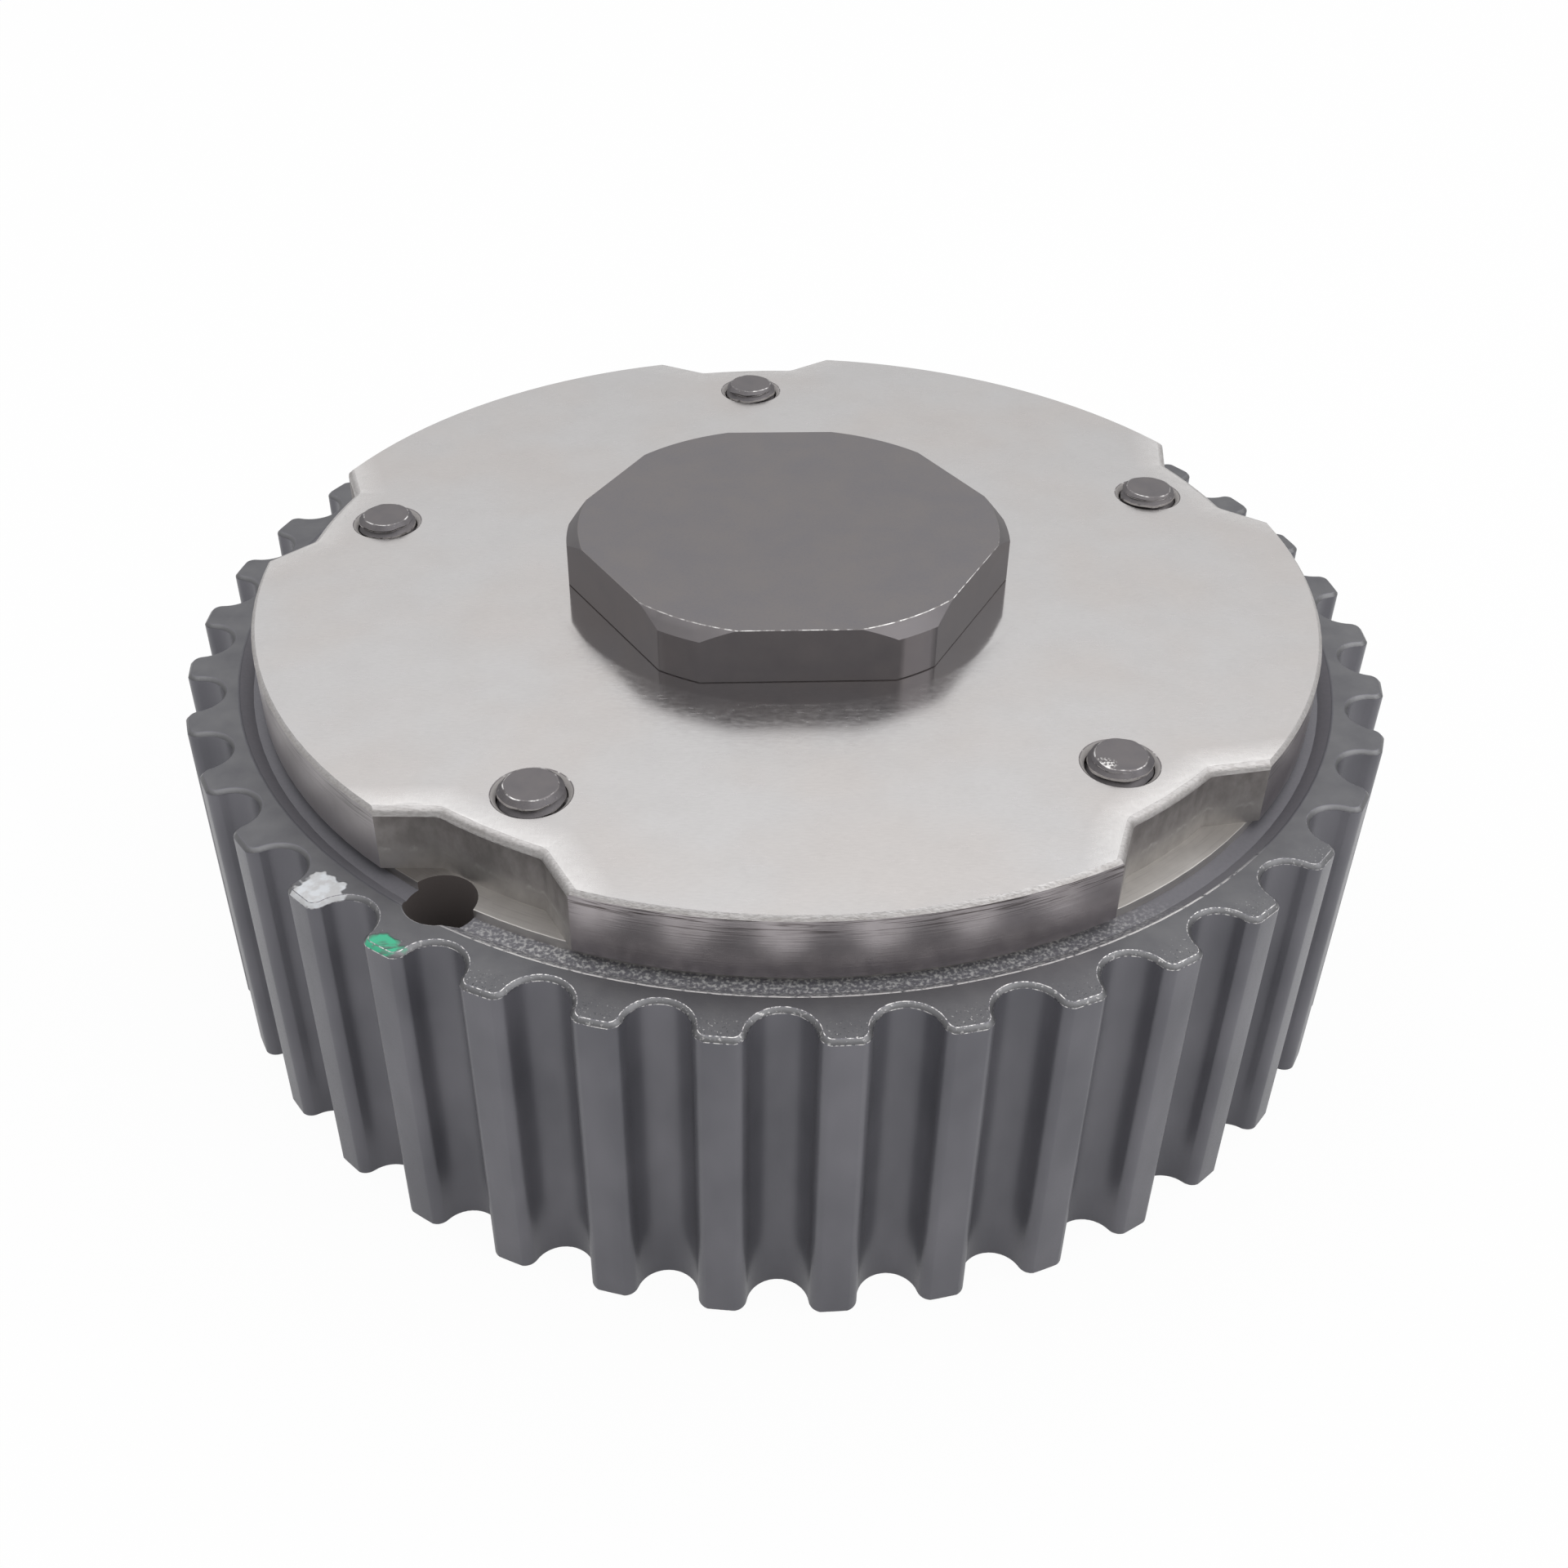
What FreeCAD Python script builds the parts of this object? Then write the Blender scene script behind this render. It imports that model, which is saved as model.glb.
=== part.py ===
"""Vane-type cam phaser with a toothed belt pulley, in millimetres.

The axis is Z and the front cover faces +Z. The origin is the centre of the pulley's rear face.
Angles are in degrees from +X, counted anticlockwise seen from the front.
"""
import FreeCAD, Part
import math
import os

import Sketcher

DRIVING = {
    # Belt teeth
    "belt_pitch": 8.0,
    "tooth_count": 38,
    "pitch_line_offset": 0.686,
    "tooth_depth": 2.83,
    "root_radius": 2.2,
    "tip_radius": 1.0,
    "tip_rise": 0.03,
    "groove_angle": -91.46,
    "face_width": 27.0,
    # Turned front of the pulley
    "face_rim_width": 1.17,
    "slope_width": 1.0,
    "land_width": 1.28,
    "land_drop": 0.7,
    "timing_hole_radius": 2.5,
    "timing_hole_depth": 12.0,
    "timing_hole_gap": 0.05,
    "timing_hole_angle": -124.5,
    # Chambers and webs
    "chamber_count": 5,
    "chamber_wall": 0.85,
    "web_gap": 0.3,
    "web_half_angle": 9.0,
    "web_angle": 22.8,
    "rear_cover_seat": 8.5,
    # Static seals
    "seal_margin": 0.6,
    "cover_seal_width": 1.3,
    "cover_seal_height": 1.2,
    "seal_side_play": 0.05,
    # Front cover
    "cover_overhang": 0.58,
    "cover_thickness": 5.0,
    "cover_edge": 0.3,
    "notch_depth": 2.75,
    "notch_floor_half_angle": 6.15,
    "notch_rim_half_angle": 10.85,
    "notch_corner_radius": 0.9,
    "notch_roll_radius": 0.6,
    # Screws
    "screw_inset": 2.2,
    "screw_radius": 2.4,
    "screw_play": 0.05,
    "screw_proud": 0.75,
    "screw_end_chamfer": 0.45,
    "screw_head_radius": 4.6,
    "screw_head_height": 3.0,
    "screw_head_bevel": 1.1,
    "screw_socket_flats": 4.0,
    "screw_socket_depth": 1.8,
    "countersink": 0.35,
    # Rear cover
    "rear_cover_rim": 1.35,
    "rear_cover_thickness": 5.0,
    "rear_cover_play": 0.05,
    "journal_play": 0.06,
    # Rotor
    "pilot_radius": 13.0,
    "pilot_depth": 8.5,
    "journal_wall": 4.0,
    "journal_set_back": 1.0,
    "hub_shoulder": 5.0,
    "rotor_end_play": 0.02,
    "vane_tip_play": 0.06,
    "vane_half_angle": 6.5,
    "lock_vane_half_angle": 13.5,
    "lock_vane_gap_angle": 0.6,
    "bolt_hole_radius": 6.5,
    "bolt_seat_radius": 12.0,
    "bolt_flange": 5.0,
    "oil_hole_radius": 1.3,
    "oil_hole_rise": 2.25,
    "oil_hole_offset_angle": 4.5,
    # Running seals, alike in the vanes and the webs
    "slot_width": 2.6,
    "slot_depth": 2.8,
    "strip_width": 2.5,
    "strip_end_play": 0.1,
    "strip_tip_play": 0.03,
    "leaf_space": 0.66,
    "leaf_thickness": 0.2,
    "leaf_width": 2.2,
    "leaf_end_gap": 1.0,
    # Lock pin
    "pin_radius": 4.0,
    "pin_play": 0.05,
    "pin_wall": 0.6,
    "pin_shoulder_width": 0.95,
    "pin_flange_play": 0.07,
    "pin_flange_height": 2.4,
    "pin_length": 13.4,
    "pin_floor": 3.4,
    "pin_tip_chamfer": 0.5,
    "pin_tip_gap": 0.1,
    "pin_stroke": 3.5,
    "pin_stop_gap": 0.12,
    "bushing_wall": 1.92,
    "bushing_length": 4.0,
    "bushing_play": 0.08,
    "spring_seat_thickness": 1.9,
    "spring_seat_spigot": 2.0,
    "spring_seat_vent_radius": 0.6,
    "spring_bore_play": 0.3,
    "spring_spigot_play": 0.4,
    "spring_wire_radius": 0.35,
    "spring_coil_radius": 2.25,
    "spring_turns": 7,
    # Closure plug
    "plug_flats": 32.0,
    "plug_corner_cut": 0.925,
    "plug_bevel_reach": 0.6,
    "plug_head_height": 4.45,
    "plug_flat_angle": 31.6,
    "plug_shoulder": 3.1,
    "plug_neck_length": 4.7,
    "plug_neck_play": 0.05,
    "plug_neck_chamfer": 0.6,
    "plug_seal_width": 1.8,
    "plug_seal_height": 1.8,
    "plug_seal_bevel": 0.5,
    "plug_seal_inner_gap": 0.3,
    "plug_seal_outer_gap": 0.2,
    # Camshaft dowel
    "dowel_radius": 1.5,
    "dowel_length": 8.0,
    "dowel_depth": 4.0,
}

doc = FreeCAD.newDocument("cam_phaser")
sheet = doc.addObject("Spreadsheet::Sheet", "dims")


class Size:
    """A length, angle or ratio: its value now and its formula over the sheet's cells."""

    def __init__(self, value, text):
        self.value = value
        self.text = text

    def join(self, other, sign, value):
        return Size(value, "(%s %s %s)" % (self.text, sign, as_size(other).text))

    def __add__(self, other):
        return self.join(other, "+", self.value + as_size(other).value)

    def __sub__(self, other):
        return self.join(other, "-", self.value - as_size(other).value)

    def __mul__(self, other):
        return self.join(other, "*", self.value * as_size(other).value)

    def __truediv__(self, other):
        return self.join(other, "/", self.value / as_size(other).value)

    def __rsub__(self, other):
        return as_size(other) - self

    def __rmul__(self, other):
        return as_size(other) * self

    def __rtruediv__(self, other):
        return as_size(other) / self

    def __neg__(self):
        return as_size(0) - self


def as_size(number):
    return number if isinstance(number, Size) else Size(number, repr(number))


def cosine(angle):
    return Size(math.cos(math.radians(angle.value)), "cos(%s)" % angle.text)


def sine(angle):
    return Size(math.sin(math.radians(angle.value)), "sin(%s)" % angle.text)


def root(square):
    return Size(math.sqrt(square.value), "sqrt(%s)" % square.text)


def polar(radius, angle):
    """The point at a radius and an angle."""
    return (radius * cosine(angle), radius * sine(angle))


def fill_sheet():
    """Write the driving dimensions, one cell each, and return them as sizes."""
    sizes = {}
    for row, (name, value) in enumerate(DRIVING.items(), 1):
        sheet.set("A%d" % row, name)
        sheet.set("B%d" % row, str(value))
        sheet.setAlias("B%d" % row, name)
        sizes[name] = Size(value, "dims." + name)
    doc.recompute()
    return sizes


d = fill_sheet()
ZERO = as_size(0)

# How far an outline that cuts reaches past the face that it cuts
CLEAR = 1.5
ONE_STEP = 360 / d["chamber_count"]

# Heights above the pulley's rear face
FRONT = d["face_width"]
COVER_TOP = FRONT + d["cover_thickness"]
REAR_SEAT = d["rear_cover_seat"]
REAR_FACE = REAR_SEAT - d["rear_cover_thickness"]
ROTOR_BOTTOM = REAR_SEAT + d["rotor_end_play"]
ROTOR_TOP = FRONT - d["rotor_end_play"]
ROTOR_HEIGHT = ROTOR_TOP - ROTOR_BOTTOM
JOURNAL_END = REAR_FACE + d["journal_set_back"]
PILOT_TOP = JOURNAL_END + d["pilot_depth"]
STRIP_BOTTOM = REAR_SEAT + d["strip_end_play"]
STRIP_HEIGHT = FRONT - REAR_SEAT - 2 * d["strip_end_play"]
PIN_BOTTOM = ROTOR_BOTTOM + d["pin_tip_gap"]
PIN_TOP = PIN_BOTTOM + d["pin_length"]
PIN_FLANGE_BOTTOM = PIN_TOP - d["pin_flange_height"]
PIN_SHOULDER = PIN_FLANGE_BOTTOM - d["pin_stroke"] - d["pin_stop_gap"]
SEAT_TOP = ROTOR_TOP - d["seal_side_play"]
SEAT_BOTTOM = SEAT_TOP - d["spring_seat_thickness"]

# Radii from the belt teeth inwards
OUTER = d["belt_pitch"] * d["tooth_count"] / (2 * math.pi) - d["pitch_line_offset"]
ROOT = OUTER - d["tooth_depth"]
SLOPE_OUT = ROOT - d["face_rim_width"]
LAND_OUT = SLOPE_OUT - d["slope_width"]
SEAT_RADIUS = LAND_OUT - d["land_width"]
COVER_RADIUS = SEAT_RADIUS + d["cover_overhang"]
NOTCH_RADIUS = COVER_RADIUS - d["notch_depth"]
COVER_SEAL_OUT = NOTCH_RADIUS - d["seal_margin"]
COVER_SEAL_IN = COVER_SEAL_OUT - d["cover_seal_width"]
REAR_RADIUS = COVER_SEAL_OUT + d["rear_cover_rim"]
CHAMBER_RADIUS = COVER_SEAL_IN - d["chamber_wall"]
VANE_RADIUS = CHAMBER_RADIUS - d["vane_tip_play"]
VANE_SLOT_FLOOR = VANE_RADIUS - d["slot_depth"]
SCREW_CIRCLE = CHAMBER_RADIUS - d["screw_inset"]
SCREW_HOLE = d["screw_radius"] + d["screw_play"]
TIMING_CIRCLE = NOTCH_RADIUS + d["timing_hole_gap"] + d["timing_hole_radius"]

# Radii from the camshaft's pilot outwards
JOURNAL_RADIUS = d["pilot_radius"] + d["journal_wall"]
HUB_RADIUS = JOURNAL_RADIUS + d["hub_shoulder"]
WEB_TIP = HUB_RADIUS + d["web_gap"]
WEB_SLOT_FLOOR = WEB_TIP + d["slot_depth"]
DOWEL_CIRCLE = (d["pilot_radius"] + JOURNAL_RADIUS) / 2

# Radii of the lock, about its own axis, and how far out that axis lies
PIN_GUIDE = d["pin_radius"] + d["pin_play"]
PIN_CHAMBER = PIN_GUIDE + d["pin_shoulder_width"]
PIN_FLANGE = PIN_CHAMBER - d["pin_flange_play"]
PIN_BORE = d["spring_coil_radius"] + d["spring_wire_radius"] + d["spring_bore_play"]
SPIGOT_RADIUS = d["spring_coil_radius"] - d["spring_wire_radius"] - d["spring_spigot_play"]
BUSHING_BORE = d["pin_radius"] + d["bushing_play"]
BUSHING_RADIUS = BUSHING_BORE + d["bushing_wall"]
LOCK_CIRCLE = VANE_SLOT_FLOOR - d["pin_wall"] - PIN_CHAMBER

# Radii of the closure plug
PLUG_NECK = d["plug_flats"] / 2 - d["plug_shoulder"]
NECK_HOLE = PLUG_NECK + d["plug_neck_play"]
PLUG_SEAL_IN = PLUG_NECK + d["plug_seal_inner_gap"]
PLUG_SEAL_OUT = PLUG_SEAL_IN + d["plug_seal_width"]
PLUG_RECESS = PLUG_SEAL_OUT + d["plug_seal_outer_gap"]

# The wide vane's centre line with the phaser at its stop
LOCK_ANGLE = (d["web_angle"] + d["web_half_angle"] + d["lock_vane_gap_angle"]
              + d["lock_vane_half_angle"])


def origin_feature(body, role):
    for feature in body.Origin.OriginFeatures:
        if feature.Role == role:
            return feature


def new_body(label):
    body = doc.addObject("PartDesign::Body", label)
    body.Label = label
    return body


def turn_body(body, angle):
    """Turn a finished body about the phaser's axis."""
    turn = FreeCAD.Rotation(FreeCAD.Vector(0, 0, 1), angle.value)
    body.Placement = FreeCAD.Placement(FreeCAD.Vector(), turn)
    body.setExpression("Placement.Rotation.Angle", angle.text)


def move_body(body, radius, angle):
    """Stand a body made on its own axis at a radius and an angle."""
    x, y = polar(radius, angle)
    body.Placement = FreeCAD.Placement(FreeCAD.Vector(x.value, y.value, 0), FreeCAD.Rotation())
    body.setExpression("Placement.Base.x", x.text)
    body.setExpression("Placement.Base.y", y.text)


def new_sketch(body, name, role="XY_Plane", lift=None, turn=None, shift=None, swing=None):
    """A sketch on an origin plane: lifted along its normal, turned in its plane, shifted or swung."""
    sketch = body.newObject("Sketcher::SketchObject", name)
    sketch.AttachmentSupport = [(origin_feature(body, role), "")]
    sketch.MapMode = "FlatFace"
    axis = FreeCAD.Vector(0, 1, 0) if swing is not None else FreeCAD.Vector(0, 0, 1)
    angle = swing if swing is not None else turn
    sketch.AttachmentOffset = FreeCAD.Placement(
        FreeCAD.Vector(shift.value if shift else 0, 0, lift.value if lift else 0),
        FreeCAD.Rotation(axis, angle.value if angle else 0))
    if lift:
        sketch.setExpression("AttachmentOffset.Base.z", lift.text)
    if shift:
        sketch.setExpression("AttachmentOffset.Base.x", shift.text)
    if angle:
        sketch.setExpression("AttachmentOffset.Rotation.Angle", angle.text)
    return sketch


def bind(sketch, kind, *where):
    """Add a dimension whose last value is a size, and tie it to the sheet."""
    size = where[-1]
    number = sketch.addConstraint(Sketcher.Constraint(kind, *where[:-1], size.value))
    sketch.setExpression("Constraints[%d]" % number, size.text)


def circle(sketch, x, y, radius):
    place = FreeCAD.Vector(x.value, y.value, 0)
    number = sketch.addGeometry(Part.Circle(place, FreeCAD.Vector(0, 0, 1), radius.value))
    bind(sketch, "DistanceX", -1, 1, number, 3, x)
    bind(sketch, "DistanceY", -1, 1, number, 3, y)
    bind(sketch, "Radius", number, radius)


def stretch(start, end, radius, side):
    """The line or arc from start to end, and the ends of it where it starts and stops.

    An arc with side 1 bends to the left and one with side -1 to the right.
    """
    first = FreeCAD.Vector(start[0].value, start[1].value, 0)
    last = FreeCAD.Vector(end[0].value, end[1].value, 0)
    if radius is None:
        return Part.LineSegment(first, last), 1, 2
    chord = last - first
    rise = math.sqrt(radius.value ** 2 - (chord.Length / 2) ** 2)
    left = FreeCAD.Vector(-chord.y, chord.x, 0).normalize()
    centre = (first + last) * 0.5 + left * rise * side
    if side < 0:
        first, last = last, first
    start_angle = math.atan2(first.y - centre.y, first.x - centre.x)
    end_angle = math.atan2(last.y - centre.y, last.x - centre.x)
    whole = Part.Circle(centre, FreeCAD.Vector(0, 0, 1), radius.value)
    arc = Part.ArcOfCircle(whole, start_angle, end_angle)
    return (arc, 1, 2) if side > 0 else (arc, 2, 1)


def outline(sketch, points):
    """A closed outline of points (x, y), or (x, y, radius, side) where an arc leaves the point."""
    count = len(points)
    ends = []
    for i, point in enumerate(points):
        radius, side = (point[2], point[3]) if len(point) > 2 else (None, 0)
        shape, tail, head = stretch(point, points[(i + 1) % count], radius, side)
        ends.append((sketch.addGeometry(shape), tail, head, radius))
    for i, (number, tail, head, radius) in enumerate(ends):
        following = ends[(i + 1) % count]
        sketch.addConstraint(Sketcher.Constraint("Coincident", number, head, following[0], following[1]))
        bind(sketch, "DistanceX", -1, 1, number, tail, points[i][0])
        bind(sketch, "DistanceY", -1, 1, number, tail, points[i][1])
        if radius is not None:
            bind(sketch, "Radius", number, radius)


def rectangle(sketch, x_low, x_high, y_low, y_high):
    outline(sketch, [(x_low, y_low), (x_high, y_low), (x_high, y_high), (x_low, y_high)])


def extrude(body, kind, sketch, length, name, backwards=False, both_ways=False):
    """A Pad or Pocket of a sketch."""
    feature = body.newObject("PartDesign::" + kind, name)
    feature.Profile = sketch
    feature.Length = length.value
    feature.setExpression("Length", length.text)
    feature.Reversed = backwards
    feature.Midplane = both_ways
    return feature


def spin(body, kind, sketch, name):
    """A full Revolution or Groove about the sketch's vertical axis."""
    feature = body.newObject("PartDesign::" + kind, name)
    feature.Profile = sketch
    feature.ReferenceAxis = (sketch, ["V_Axis"])
    feature.Angle = 360
    return feature


def ring_pattern(body, features, count, name):
    """Repeat features evenly round the phaser's axis."""
    pattern = body.newObject("PartDesign::PolarPattern", name)
    pattern.Originals = features
    pattern.Axis = (origin_feature(body, "Z_Axis"), [""])
    pattern.Angle = 360
    pattern.Occurrences = int(count.value)
    pattern.setExpression("Occurrences", count.text)
    body.Tip = pattern
    return pattern


def dress(body, kind, size, name, wanted):
    """Chamfer or fillet the edges of the body's last feature that wanted picks."""
    doc.recompute()
    base = body.Tip
    names = ["Edge%d" % (i + 1) for i, edge in enumerate(base.Shape.Edges) if wanted(edge)]
    feature = body.newObject("PartDesign::" + kind, name)
    feature.Base = (base, names)
    dimension = "Size" if kind == "Chamfer" else "Radius"
    setattr(feature, dimension, size.value)
    feature.setExpression(dimension, size.text)
    return feature


def edge_radius(edge):
    """How far the middle of an edge lies from the axis."""
    middle = edge.valueAt((edge.FirstParameter + edge.LastParameter) / 2)
    return math.hypot(middle.x, middle.y)


def is_at_height(edge, height):
    return all(abs(vertex.Z - height.value) < 1e-4 for vertex in edge.Vertexes)


def turned(label, *points):
    """A body turned from one outline in the XZ plane."""
    body = new_body(label)
    sketch = new_sketch(body, label + "_section", "XZ_Plane")
    outline(sketch, points)
    spin(body, "Revolution", sketch, label + "_turned")
    return body


def tooth_groove(body):
    """One belt groove: a round root that runs into rounded tooth tips."""
    sketch = new_sketch(body, "belt_groove_outline", lift=FRONT, turn=d["groove_angle"])
    centre_x = ROOT + d["root_radius"]
    tip_distance = OUTER - d["tip_radius"] + d["tip_rise"]
    between = d["root_radius"] + d["tip_radius"]
    tip_x = (tip_distance * tip_distance + centre_x * centre_x - between * between) / (2 * centre_x)
    tip_y = root(tip_distance * tip_distance - tip_x * tip_x)
    share = d["root_radius"] / between
    flank_x = centre_x + (tip_x - centre_x) * share
    flank_y = tip_y * share
    crest = (OUTER + d["tip_rise"]) / tip_distance
    clear = (OUTER + CLEAR) / tip_distance
    outline(sketch, [
        (ROOT, ZERO, d["root_radius"], -1),
        (flank_x, flank_y, d["tip_radius"], 1),
        (tip_x * crest, tip_y * crest),
        (tip_x * clear, tip_y * clear),
        (tip_x * clear, -(tip_y * clear)),
        (tip_x * crest, -(tip_y * crest), d["tip_radius"], 1),
        (flank_x, -flank_y, d["root_radius"], -1)])
    return extrude(body, "Pocket", sketch, FRONT, "belt_groove")


def pulley():
    body = new_body("pulley")
    blank = new_sketch(body, "blank_outline")
    circle(blank, ZERO, ZERO, OUTER)
    extrude(body, "Pad", blank, FRONT, "blank")
    # Lowered land round the cover's seat, with a slope up to the tooth face
    lowered = new_sketch(body, "land_section", "XZ_Plane")
    land = FRONT - d["land_drop"]
    above = FRONT + CLEAR
    outline(lowered, [
        (SEAT_RADIUS, above), (SEAT_RADIUS, land), (LAND_OUT, land), (SLOPE_OUT, FRONT),
        (SLOPE_OUT, above)])
    spin(body, "Groove", lowered, "land")
    # Rear counterbore and the bore between the web tips
    counterbore = new_sketch(body, "counterbore_outline")
    circle(counterbore, ZERO, ZERO, REAR_RADIUS + d["rear_cover_play"])
    extrude(body, "Pocket", counterbore, REAR_SEAT, "counterbore", backwards=True)
    bore = new_sketch(body, "bore_outline", lift=FRONT)
    circle(bore, ZERO, ZERO, WEB_TIP)
    extrude(body, "Pocket", bore, FRONT, "bore")
    # Chambers between the webs
    chamber_half = ONE_STEP / 2 - d["web_half_angle"]
    inside = WEB_TIP - CLEAR
    chamber = new_sketch(body, "chamber_outline", lift=FRONT, turn=d["web_angle"] + ONE_STEP / 2)
    outline(chamber, [
        polar(inside, -chamber_half),
        polar(CHAMBER_RADIUS, -chamber_half) + (CHAMBER_RADIUS, 1),
        polar(CHAMBER_RADIUS, chamber_half),
        polar(inside, chamber_half)])
    cut = extrude(body, "Pocket", chamber, FRONT - REAR_SEAT, "chamber")
    ring_pattern(body, [cut], d["chamber_count"], "chambers")
    # Screw holes and seal slots in the webs
    hole = new_sketch(body, "screw_hole_outline", lift=FRONT, turn=d["web_angle"])
    circle(hole, SCREW_CIRCLE, ZERO, SCREW_HOLE)
    hole_cut = extrude(body, "Pocket", hole, FRONT, "screw_hole")
    ring_pattern(body, [hole_cut], d["chamber_count"], "screw_holes")
    slot = new_sketch(body, "web_slot_outline", lift=FRONT, turn=d["web_angle"])
    half = d["slot_width"] / 2
    rectangle(slot, inside, WEB_SLOT_FLOOR, -half, half)
    slot_cut = extrude(body, "Pocket", slot, FRONT, "web_slot")
    ring_pattern(body, [slot_cut], d["chamber_count"], "web_slots")
    # Grooves for the static seals
    grooves = (("front_seal_groove", FRONT - d["cover_seal_height"], above),
               ("rear_seal_groove", REAR_SEAT - CLEAR, REAR_SEAT + d["cover_seal_height"]))
    play = d["seal_side_play"]
    for name, low, high in grooves:
        section = new_sketch(body, name + "_section", "XZ_Plane")
        rectangle(section, COVER_SEAL_IN - play, COVER_SEAL_OUT + play, low, high)
        spin(body, "Groove", section, name)
    timing = new_sketch(body, "timing_hole_outline", lift=FRONT, turn=d["timing_hole_angle"])
    circle(timing, TIMING_CIRCLE, ZERO, d["timing_hole_radius"])
    extrude(body, "Pocket", timing, d["timing_hole_depth"], "timing_hole")
    ring_pattern(body, [tooth_groove(body)], d["tooth_count"], "belt_grooves")


def notch_outline(sketch):
    """One scallop: a floor round the phaser's axis between two slanted ends."""
    floor_x, floor_y = polar(NOTCH_RADIUS, d["notch_floor_half_angle"])
    rim_x, rim_y = polar(COVER_RADIUS, d["notch_rim_half_angle"])
    out_x = floor_x + (rim_x - floor_x) * 1.5
    out_y = floor_y + (rim_y - floor_y) * 1.5
    outline(sketch, [
        (out_x, -out_y), (out_x, out_y), (floor_x, floor_y, NOTCH_RADIUS, -1), (floor_x, -floor_y)])


def front_cover():
    edge = d["cover_edge"]
    recess_floor = COVER_TOP - d["plug_seal_height"]
    body = turned(
        "front_cover",
        (NECK_HOLE, FRONT), (COVER_RADIUS, FRONT), (COVER_RADIUS, COVER_TOP - edge),
        (COVER_RADIUS - edge, COVER_TOP), (PLUG_RECESS, COVER_TOP),
        (PLUG_RECESS, recess_floor), (NECK_HOLE, recess_floor))
    notch = new_sketch(body, "notch_outline", lift=COVER_TOP, turn=d["web_angle"])
    notch_outline(notch)
    cut = extrude(body, "Pocket", notch, d["cover_thickness"], "notch")
    ring_pattern(body, [cut], d["chamber_count"], "notches")
    dress(body, "Fillet", d["notch_corner_radius"], "notch_corners",
          lambda e: abs(edge_radius(e) - NOTCH_RADIUS.value) < 0.01 and len(e.Vertexes) == 2
          and abs(e.Vertexes[0].Z - e.Vertexes[1].Z) > 1)
    dress(body, "Fillet", d["notch_roll_radius"], "notch_rolled_edges",
          lambda e: is_at_height(e, COVER_TOP) and NOTCH_RADIUS.value - 0.1 < edge_radius(e)
          < COVER_RADIUS.value - edge.value - 0.01)
    hole = new_sketch(body, "tapped_hole_outline", lift=COVER_TOP, turn=d["web_angle"])
    circle(hole, SCREW_CIRCLE, ZERO, SCREW_HOLE)
    hole_cut = extrude(body, "Pocket", hole, d["cover_thickness"], "tapped_hole")
    ring_pattern(body, [hole_cut], d["chamber_count"], "tapped_holes")
    dress(body, "Chamfer", d["countersink"], "countersinks",
          lambda e: is_at_height(e, COVER_TOP) and e.Curve.TypeId == "Part::GeomCircle"
          and abs(e.Curve.Radius - SCREW_HOLE.value) < 1e-4)


def rear_cover():
    edge = d["cover_edge"]
    bore = JOURNAL_RADIUS + d["journal_play"]
    body = turned(
        "rear_cover",
        (bore, REAR_FACE), (REAR_RADIUS - edge, REAR_FACE), (REAR_RADIUS, REAR_FACE + edge),
        (REAR_RADIUS, REAR_SEAT), (bore, REAR_SEAT))
    hole = new_sketch(body, "clearance_hole_outline", lift=REAR_SEAT, turn=d["web_angle"])
    circle(hole, SCREW_CIRCLE, ZERO, SCREW_HOLE)
    cut = extrude(body, "Pocket", hole, d["rear_cover_thickness"], "clearance_hole")
    ring_pattern(body, [cut], d["chamber_count"], "clearance_holes")
    seat = new_sketch(body, "bushing_seat_outline", lift=REAR_SEAT, turn=LOCK_ANGLE)
    circle(seat, LOCK_CIRCLE, ZERO, BUSHING_RADIUS)
    extrude(body, "Pocket", seat, d["bushing_length"], "bushing_seat")


def cover_seal(label, bottom):
    top = bottom + d["cover_seal_height"]
    turned(
        label,
        (COVER_SEAL_IN, bottom), (COVER_SEAL_OUT, bottom), (COVER_SEAL_OUT, top), (COVER_SEAL_IN, top))


def hexagon(sketch, corner, x=ZERO, y=ZERO):
    """A hexagon of a corner radius about a point, with a flat facing the sketch's +X."""
    corners = [polar(corner, as_size(30 + 60 * i)) for i in range(6)]
    outline(sketch, [(x + across, y + up) for across, up in corners])


def cover_screws():
    """Five screws in one group: head in the rear recess, chamfered end proud of the front cover."""
    body = new_body("cover_screws")
    body.AllowCompound = True
    end = COVER_TOP + d["screw_proud"]
    chamfer = d["screw_end_chamfer"]
    head_end = REAR_FACE - d["screw_head_height"]
    bevel = d["screw_head_bevel"]
    section = new_sketch(body, "screw_section", "XZ_Plane", shift=SCREW_CIRCLE)
    outline(section, [
        (ZERO, head_end), (d["screw_head_radius"] - bevel, head_end),
        (d["screw_head_radius"], head_end + bevel), (d["screw_head_radius"], REAR_FACE),
        (d["screw_radius"], REAR_FACE), (d["screw_radius"], end - chamfer),
        (d["screw_radius"] - chamfer, end), (ZERO, end)])
    screw = spin(body, "Revolution", section, "screw")
    socket = new_sketch(body, "socket_outline", lift=head_end, shift=SCREW_CIRCLE)
    hexagon(socket, d["screw_socket_flats"] / root(as_size(3)))
    cut = extrude(body, "Pocket", socket, d["screw_socket_depth"], "socket", backwards=True)
    ring_pattern(body, [screw, cut], d["chamber_count"], "screws")
    turn_body(body, d["web_angle"])


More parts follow.
